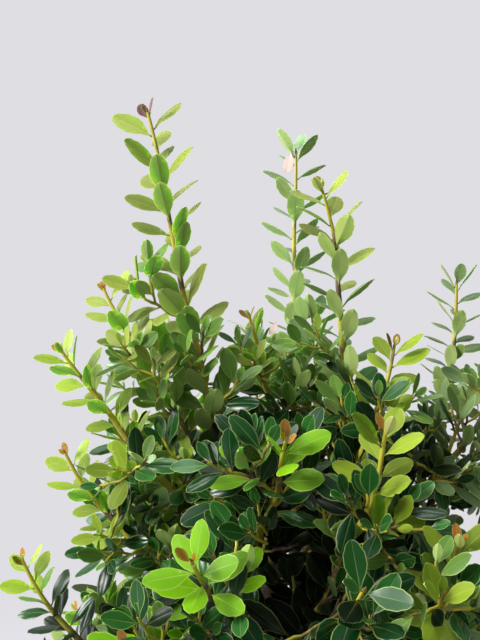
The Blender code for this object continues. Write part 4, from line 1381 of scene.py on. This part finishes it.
def pot_profile():
    """The pot's wall from the middle of its underside, out and up over the rim, and down inside to the floor."""
    foot, band, rim = pot_radius(0) - FOOT_STEP, POT_HEIGHT - RIM_DEPTH, RIM_RADIUS
    line = [(0.0, 0.0)] + [(foot + inset, height) for inset, height in RECESS]
    line += arc((foot - ROLL, ROLL), ROLL, -90, 0)
    line += [(pot_radius(FOOT_HEIGHT) - FOOT_STEP, FOOT_HEIGHT - STEP)]
    line += arc((pot_radius(FOOT_HEIGHT) - ROLL, FOOT_HEIGHT + ROLL), ROLL, -60, 0)
    for rib in (LOW_RIB, band - HIGH_RIB):
        low, high = rib - WALL_RIB_HALF, rib + WALL_RIB_HALF
        line += [(pot_radius(low), low), (pot_radius(rib) + WALL_RIB, rib - WALL_RIB)]
        line += [(pot_radius(rib) + WALL_RIB, rib + WALL_RIB), (pot_radius(high), high)]
    line += [(pot_radius(band), band - SMALL_STEP), (pot_radius(band) + STEP, band + SMALL_STEP)]
    line += arc((rim - ROLL, band + 2 * ROLL), ROLL, -50, 0)
    line += [(rim - RIM_CURVE, band + RIM_BELLY), (rim, POT_HEIGHT - 2 * LIP)]
    line += arc((rim - LIP, POT_HEIGHT - LIP), LIP, 0, 90)
    line += arc((rim - POT_WALL + LIP, POT_HEIGHT - LIP), LIP, 90, 180)
    inner = pot_radius(band) - POT_WALL
    line += [(inner + INNER_STEP, band + INNER_BEND), (inner, band - INNER_BEND)]
    inner = pot_radius(POT_FLOOR) - FOOT_STEP - POT_WALL
    return line + [(inner + STEP, POT_FLOOR + 2 * INNER_BEND), (inner - INNER_BEND, POT_FLOOR), (0.0, POT_FLOOR)]


def spun(name, profile):
    """A closed shape turned about the Z axis from a profile that starts and ends on the axis."""
    bm = bmesh.new()
    line = [bm.verts.new((radius, 0, height)) for radius, height in profile]
    edges = [bm.edges.new(pair) for pair in zip(line, line[1:])]
    bmesh.ops.spin(bm, geom=line + edges, cent=(0, 0, 0), axis=(0, 0, 1), angle=2 * math.pi, steps=POT_SEGMENTS)
    bmesh.ops.remove_doubles(bm, verts=bm.verts, dist=1e-5)
    return smooth_mesh(name, bm)


def drain_slots():
    """The cutter of the slots round the pot's foot, with rounded corners."""
    bm = bmesh.new()
    for k in range(DRAIN_HOLES):
        turn = Matrix.Rotation(2 * math.pi * (k + 0.5) / DRAIN_HOLES, 4, "Z")
        place = Matrix.Translation((POT_BASE_RADIUS - DRAIN_REACH / 2 + FOOT_STEP, 0, 0))
        size = Matrix.Diagonal((DRAIN_REACH, DRAIN_WIDTH, 2 * DRAIN_HEIGHT, 1))
        bmesh.ops.create_cube(bm, size=1, matrix=turn @ place @ size)
    level = [edge for edge in bm.edges if abs(edge.verts[0].co.z - edge.verts[1].co.z) < 1e-6]
    bmesh.ops.bevel(bm, geom=level, offset=DRAIN_ROUNDING, segments=3, affect="EDGES", profile=0.5)
    return smooth_mesh("drain_slots", bm)


# The pot's finish: its scuffs and dried splashes as mottles, how high the dust reaches and how thick it is at the
# foot and at that height, how pale scuffs are, its roughness, and the strength and depth of its grain
SCUFFS, SPLASHES = (34, 0.52, 0.72, 2400, 2.2), (90, 0.50, 0.66, 600, 0.5)
DUST_HEIGHT, DUST_SHARES = 0.055, (0.42, 0.04)
SCUFF_SHARE, PLASTIC_ROUGHNESS, PLASTIC_GRAIN = 0.035, (0.40, 0.58), (0.12, 0.0002)


def pot_material(pot):
    """Moulded plastic with a fine grain, paler scuffs, and dried splashes low down."""
    made, tree, shader = new_material("moulded_plastic")
    scuff, splash = mottle(tree, SCUFFS), mottle(tree, SPLASHES)
    place = node(tree, "ShaderNodeTexCoord").outputs["Object"]
    height = node(tree, "ShaderNodeSeparateXYZ", {0: place}).outputs["Z"]
    dusty = product(tree, ranged(tree, height, (0, DUST_HEIGHT), DUST_SHARES), splash["Mask"])
    worn = mixed_colour(tree, scuff["Mask"], pot.plastic, blended(pot.plastic, WHITE, SCUFF_SHARE))
    look = {
        "Base Color": mixed_colour(tree, dusty, worn, pot.dust),
        "Roughness": ranged(tree, scuff["Mask"], (0, 1), PLASTIC_ROUGHNESS),
        "Normal": bumped(tree, scuff["Grain"], *PLASTIC_GRAIN),
    }
    plug(tree, shader, look)
    return made


class HOLLY_OT_pot(HollyOperator, bpy.types.Operator):
    """Makes the plain tapered growing pot with its banded rim, stepped foot and drain slots"""

    bl_idname = "holly.pot"
    bl_label = "Pot"

    def execute(self, context):
        solid = add_object("pot_solid", spun("pot_solid", pot_profile()))
        cutter = add_object("drain_slots", drain_slots())
        cut = solid.modifiers.new("drain", "BOOLEAN")
        cut.operation, cut.solver, cut.object = "DIFFERENCE", "EXACT", cutter
        mesh = evaluated_mesh(solid)
        bpy.data.objects.remove(cutter)
        mesh.name = "grower_pot"
        mesh.materials.clear()
        mesh.set_sharp_from_angle(angle=SHARP_ANGLE)
        add_piece(mesh, pot_material(context.scene.holly_pot), ["pot"])
        return {"FINISHED"}


# The compost's mesh, how far its top sinks at the wall, its gap to the wall, the depths of its lower rings, and the
# height and fineness of its lumps. Then what is strewn on it: shape, size, share of the density and seed
COMPOST_RINGS, COMPOST_SEGMENTS = 34, 96
COMPOST_SINKS, COMPOST_GAP, COMPOST_DEPTHS = 0.0030, 0.0004, (0.006, 0.03, 0.07, 0.11)
LUMPS, LUMPS_SUNK = ((0.0016, 90), (0.0011, 260), (0.0006, 700)), 0.0008
STREWN = {
    "bark_chips": ((1.0, 0.45, 0.18), 0.0085, 0.28, 3),
    "compost_crumbs": ((1.0, 0.8, 0.6), 0.0034, 1.0, 5),
    "white_grit": ((1.0, 0.9, 0.7), 0.0026, 0.16, 8),
}
CRUMB_BUMPS, CRUMB_ROUGHNESS = (0.75, 1.2), 0.85


def compost_mesh():
    """Compost that fills the pot: a lumpy top that sinks a little towards the wall, over a plain block."""
    bm = bmesh.new()
    foot = pot_radius(COMPOST_FLOOR) - FOOT_STEP - POT_WALL - COMPOST_GAP
    profile = []
    for share in [k / COMPOST_RINGS for k in range(1, COMPOST_RINGS + 1)]:
        profile.append((COMPOST_RADIUS * share, COMPOST_LEVEL - COMPOST_SINKS * share**6, 1 - share**8))
    for height in [COMPOST_LEVEL - depth for depth in COMPOST_DEPTHS]:
        reach = foot + (COMPOST_RADIUS - foot) * (height - COMPOST_FLOOR) / (COMPOST_LEVEL - COMPOST_FLOOR)
        profile.append((reach - COMPOST_GAP, height, 0))
    profile.append((foot, COMPOST_FLOOR, 0))
    middle, rings = bm.verts.new((0, 0, COMPOST_LEVEL)), []
    for radius, height, lumpy in profile:
        row = []
        for c, s in circle(COMPOST_SEGMENTS):
            spot = Vector((radius * c, radius * s, height))
            lump = sum(high * noise.noise(spot * fine) for high, fine in LUMPS)
            row.append(bm.verts.new((spot.x, spot.y, height + lumpy * (lump - LUMPS_SUNK))))
        rings.append(row)
    for corner, after in zip(rings[0], rings[0][1:] + rings[0][:1]):
        bm.faces.new((middle, corner, after))
    ring_faces(bm, rings)
    bm.faces.new(rings[-1])
    return smooth_mesh("compost_body", bm)


def crumb_object(name, shape, seed):
    """A rough crumb of about unit size, stretched to a shape."""
    bm = bmesh.new()
    bmesh.ops.create_icosphere(bm, subdivisions=1, radius=0.5)
    seeded = random.Random(seed)
    for vert in bm.verts:
        vert.co *= seeded.uniform(*CRUMB_BUMPS)
    bmesh.ops.transform(bm, matrix=Matrix.Diagonal((*shape, 1)), verts=bm.verts)
    bmesh.ops.recalc_face_normals(bm, faces=bm.faces)
    mesh = bpy.data.meshes.new(name)
    bm.to_mesh(mesh)
    bm.free()
    return add_object(name, mesh)


class HOLLY_OT_compost(HollyOperator, bpy.types.Operator):
    """Makes the compost with its bark chips, crumbs and white grit"""

    bl_idname = "holly.compost"
    bl_label = "Compost"

    def execute(self, context):
        pot = context.scene.holly_pot
        brown = blended(pot.compost, pot.chips, 0.5)
        moist = rough_material("moist_compost", pot.compost, blended(pot.compost, BLACK, 0.5), brown)
        piece = add_piece(compost_mesh(), moist, ["compost"])
        tree = scatter_tree()
        for (name, (shape, size, share, seed)), colour in zip(STREWN.items(), (pot.chips, brown, pot.grit)):
            crumb = crumb_object(name + "_form", shape, seed)
            values = {"Crumb": crumb, "Density": pot.chip_density * share, "Size": size, "Seed": seed}
            values["Finish"] = plain_material(name, colour, CRUMB_ROUGHNESS)
            strewn = run_tree(name, piece.data.copy(), tree, values)
            bpy.data.objects.remove(crumb)
            finish_piece(strewn, ["compost"])
        return {"FINISHED"}


# The floor: how much darker than the backdrop it is, how far out it starts to fade, and how far it is under zero
FLOOR_DARKER, FADE_FROM, FLOOR_DROP = 0.42, 0.25, 0.0004
FLOOR_ROUGHNESS, FLOOR_SEGMENTS = 0.9, 96

# The room's light: the side that is bright, the edges of its change, and the shares of the dim side and of what
# is mirrored
BRIGHT_SIDE = (-0.45, 0.55, 0.70)
BRIGHT_EDGES = (-0.1, 0.9)
DIM_SHARE = 0.16
MIRRORED_SHARE = 0.5

# Soft lights that face the crown: which setting has the power, then place, size and colour
CROWN = Vector((0, 0, 0.42))
LIGHTS = {
    "window_light": ("key_power", (-1.75, -1.15, 1.35), 0.75, (1.0, 0.99, 0.97)),
    "side_light": ("side_power", (-1.6, 0.5, 0.9), 0.8, (0.96, 0.98, 1.0)),
    "top_light": ("top_power", (-0.4, -0.1, 2.0), 0.9, (0.97, 0.98, 1.0)),
}

# The camera looks level and straight to the back. Its focal length is in pixels of the picture
CAMERA_PLACE = (-0.020, -0.607, 0.480)
FOCAL_PIXELS = 850
IMAGE_HEIGHT = 640
SENSOR = 36


def floor_material(backdrop, fade):
    """A pale floor that fades out round the plant, so that no edge or horizon shows."""
    made, tree, shader = new_material("pale_floor")
    place = node(tree, "ShaderNodeTexCoord").outputs["Object"]
    reach = node(tree, "ShaderNodeVectorMath", {0: place}, operation="LENGTH").outputs["Value"]
    solid = ranged(tree, reach, (FADE_FROM * fade, fade), (1, 0), "SMOOTHSTEP")
    colour = (*blended(backdrop, BLACK, FLOOR_DARKER), 1)
    plug(tree, shader, {"Base Color": colour, "Roughness": FLOOR_ROUGHNESS, "Alpha": solid})
    return made


def area_light(name, place, size, power, colour):
    """A soft square light that faces the crown."""
    data = bpy.data.lights.new(name, "AREA")
    data.size, data.energy, data.color = size, power, colour
    light = add_object(name, data)
    light.location = place
    light.rotation_mode = "QUATERNION"
    light.rotation_quaternion = (CROWN - Vector(place)).to_track_quat("-Z", "Y")


def pale_room(studio):
    """A room with an even backdrop, whose light is bright above, behind and on the left and dim in front."""
    world = bpy.data.worlds.new("pale_room")
    world.use_nodes = True
    tree, colour = world.node_tree, (*studio.backdrop, 1)
    shown = tree.nodes["Background"]
    plug(tree, shown, {"Color": colour})
    place = node(tree, "ShaderNodeTexCoord").outputs["Generated"]
    side = node(tree, "ShaderNodeVectorMath", {0: place, 1: BRIGHT_SIDE}, operation="DOT_PRODUCT").outputs["Value"]
    fade = ranged(tree, side, BRIGHT_EDGES, (DIM_SHARE * studio.ambient, studio.ambient), "SMOOTHSTEP")
    ray = node(tree, "ShaderNodeLightPath").outputs
    dimmer = {0: ray["Is Glossy Ray"], 1: MIRRORED_SHARE - 1, 2: 1}
    mirrored = node(tree, "ShaderNodeMath", dimmer, operation="MULTIPLY_ADD").outputs[0]
    lit = node(tree, "ShaderNodeBackground", {"Color": colour, "Strength": product(tree, fade, mirrored)})
    mix = node(tree, "ShaderNodeMixShader", {"Fac": ray["Is Camera Ray"], 1: lit.outputs[0], 2: shown.outputs[0]})
    tree.links.new(mix.outputs[0], tree.nodes["World Output"].inputs["Surface"])
    return world


class HOLLY_OT_studio(HollyOperator, bpy.types.Operator):
    """Makes the pale floor and room, the soft lights and the camera"""

    bl_idname = "holly.studio"
    bl_label = "Studio"

    def execute(self, context):
        scene = context.scene
        studio = scene.holly_studio
        bm = bmesh.new()
        bmesh.ops.create_circle(bm, cap_ends=True, segments=FLOOR_SEGMENTS, radius=studio.floor_fade)
        floor = add_object("studio_floor", smooth_mesh("studio_floor", bm))
        floor.data.transform(Matrix.Translation((0, 0, -FLOOR_DROP)))
        floor.data.materials.append(floor_material(studio.backdrop, studio.floor_fade))
        scene.world = pale_room(studio)
        for name, (power, place, size, colour) in LIGHTS.items():
            area_light(name, place, size, getattr(studio, power), colour)
        data = bpy.data.cameras.new("camera")
        data.sensor_width, data.lens, data.clip_start = SENSOR, FOCAL_PIXELS / IMAGE_HEIGHT * SENSOR, 0.01
        scene.camera = add_object("camera", data)
        scene.camera.location = CAMERA_PLACE
        scene.camera.rotation_euler = (math.radians(90), 0, 0)
        scene.view_settings.view_transform = "Standard"
        return {"FINISHED"}


OPERATORS = [
    HOLLY_OT_studio,
    HOLLY_OT_pot,
    HOLLY_OT_compost,
    HOLLY_OT_trunk,
    HOLLY_OT_boughs,
    HOLLY_OT_twigs,
    HOLLY_OT_leaves,
    HOLLY_OT_buds,
]


class HOLLY_PT_panel(bpy.types.Panel):
    """Lists the plant's pieces and their settings"""

    bl_idname = "HOLLY_PT_panel"
    bl_label = "Potted Holly"
    bl_space_type = "VIEW_3D"
    bl_region_type = "UI"
    bl_category = "Holly"

    def draw(self, context):
        for operator in OPERATORS:
            self.layout.operator(operator.bl_idname)
        for name, group in SETTINGS.items():
            box = self.layout.box()
            for key in group.__annotations__:
                box.prop(getattr(context.scene, name), key)


CLASSES = [*SETTINGS.values(), *OPERATORS, HOLLY_PT_panel]


def register():
    for made in CLASSES:
        bpy.utils.register_class(made)
    for name, group in SETTINGS.items():
        setattr(bpy.types.Scene, name, PointerProperty(type=group))


def unregister():
    for name in SETTINGS:
        delattr(bpy.types.Scene, name)
    for made in reversed(CLASSES):
        bpy.utils.unregister_class(made)


def main():
    register()
    for operator in OPERATORS:
        family, name = operator.bl_idname.split(".")
        getattr(getattr(bpy.ops, family), name)()


if __name__ == "__main__":
    main()
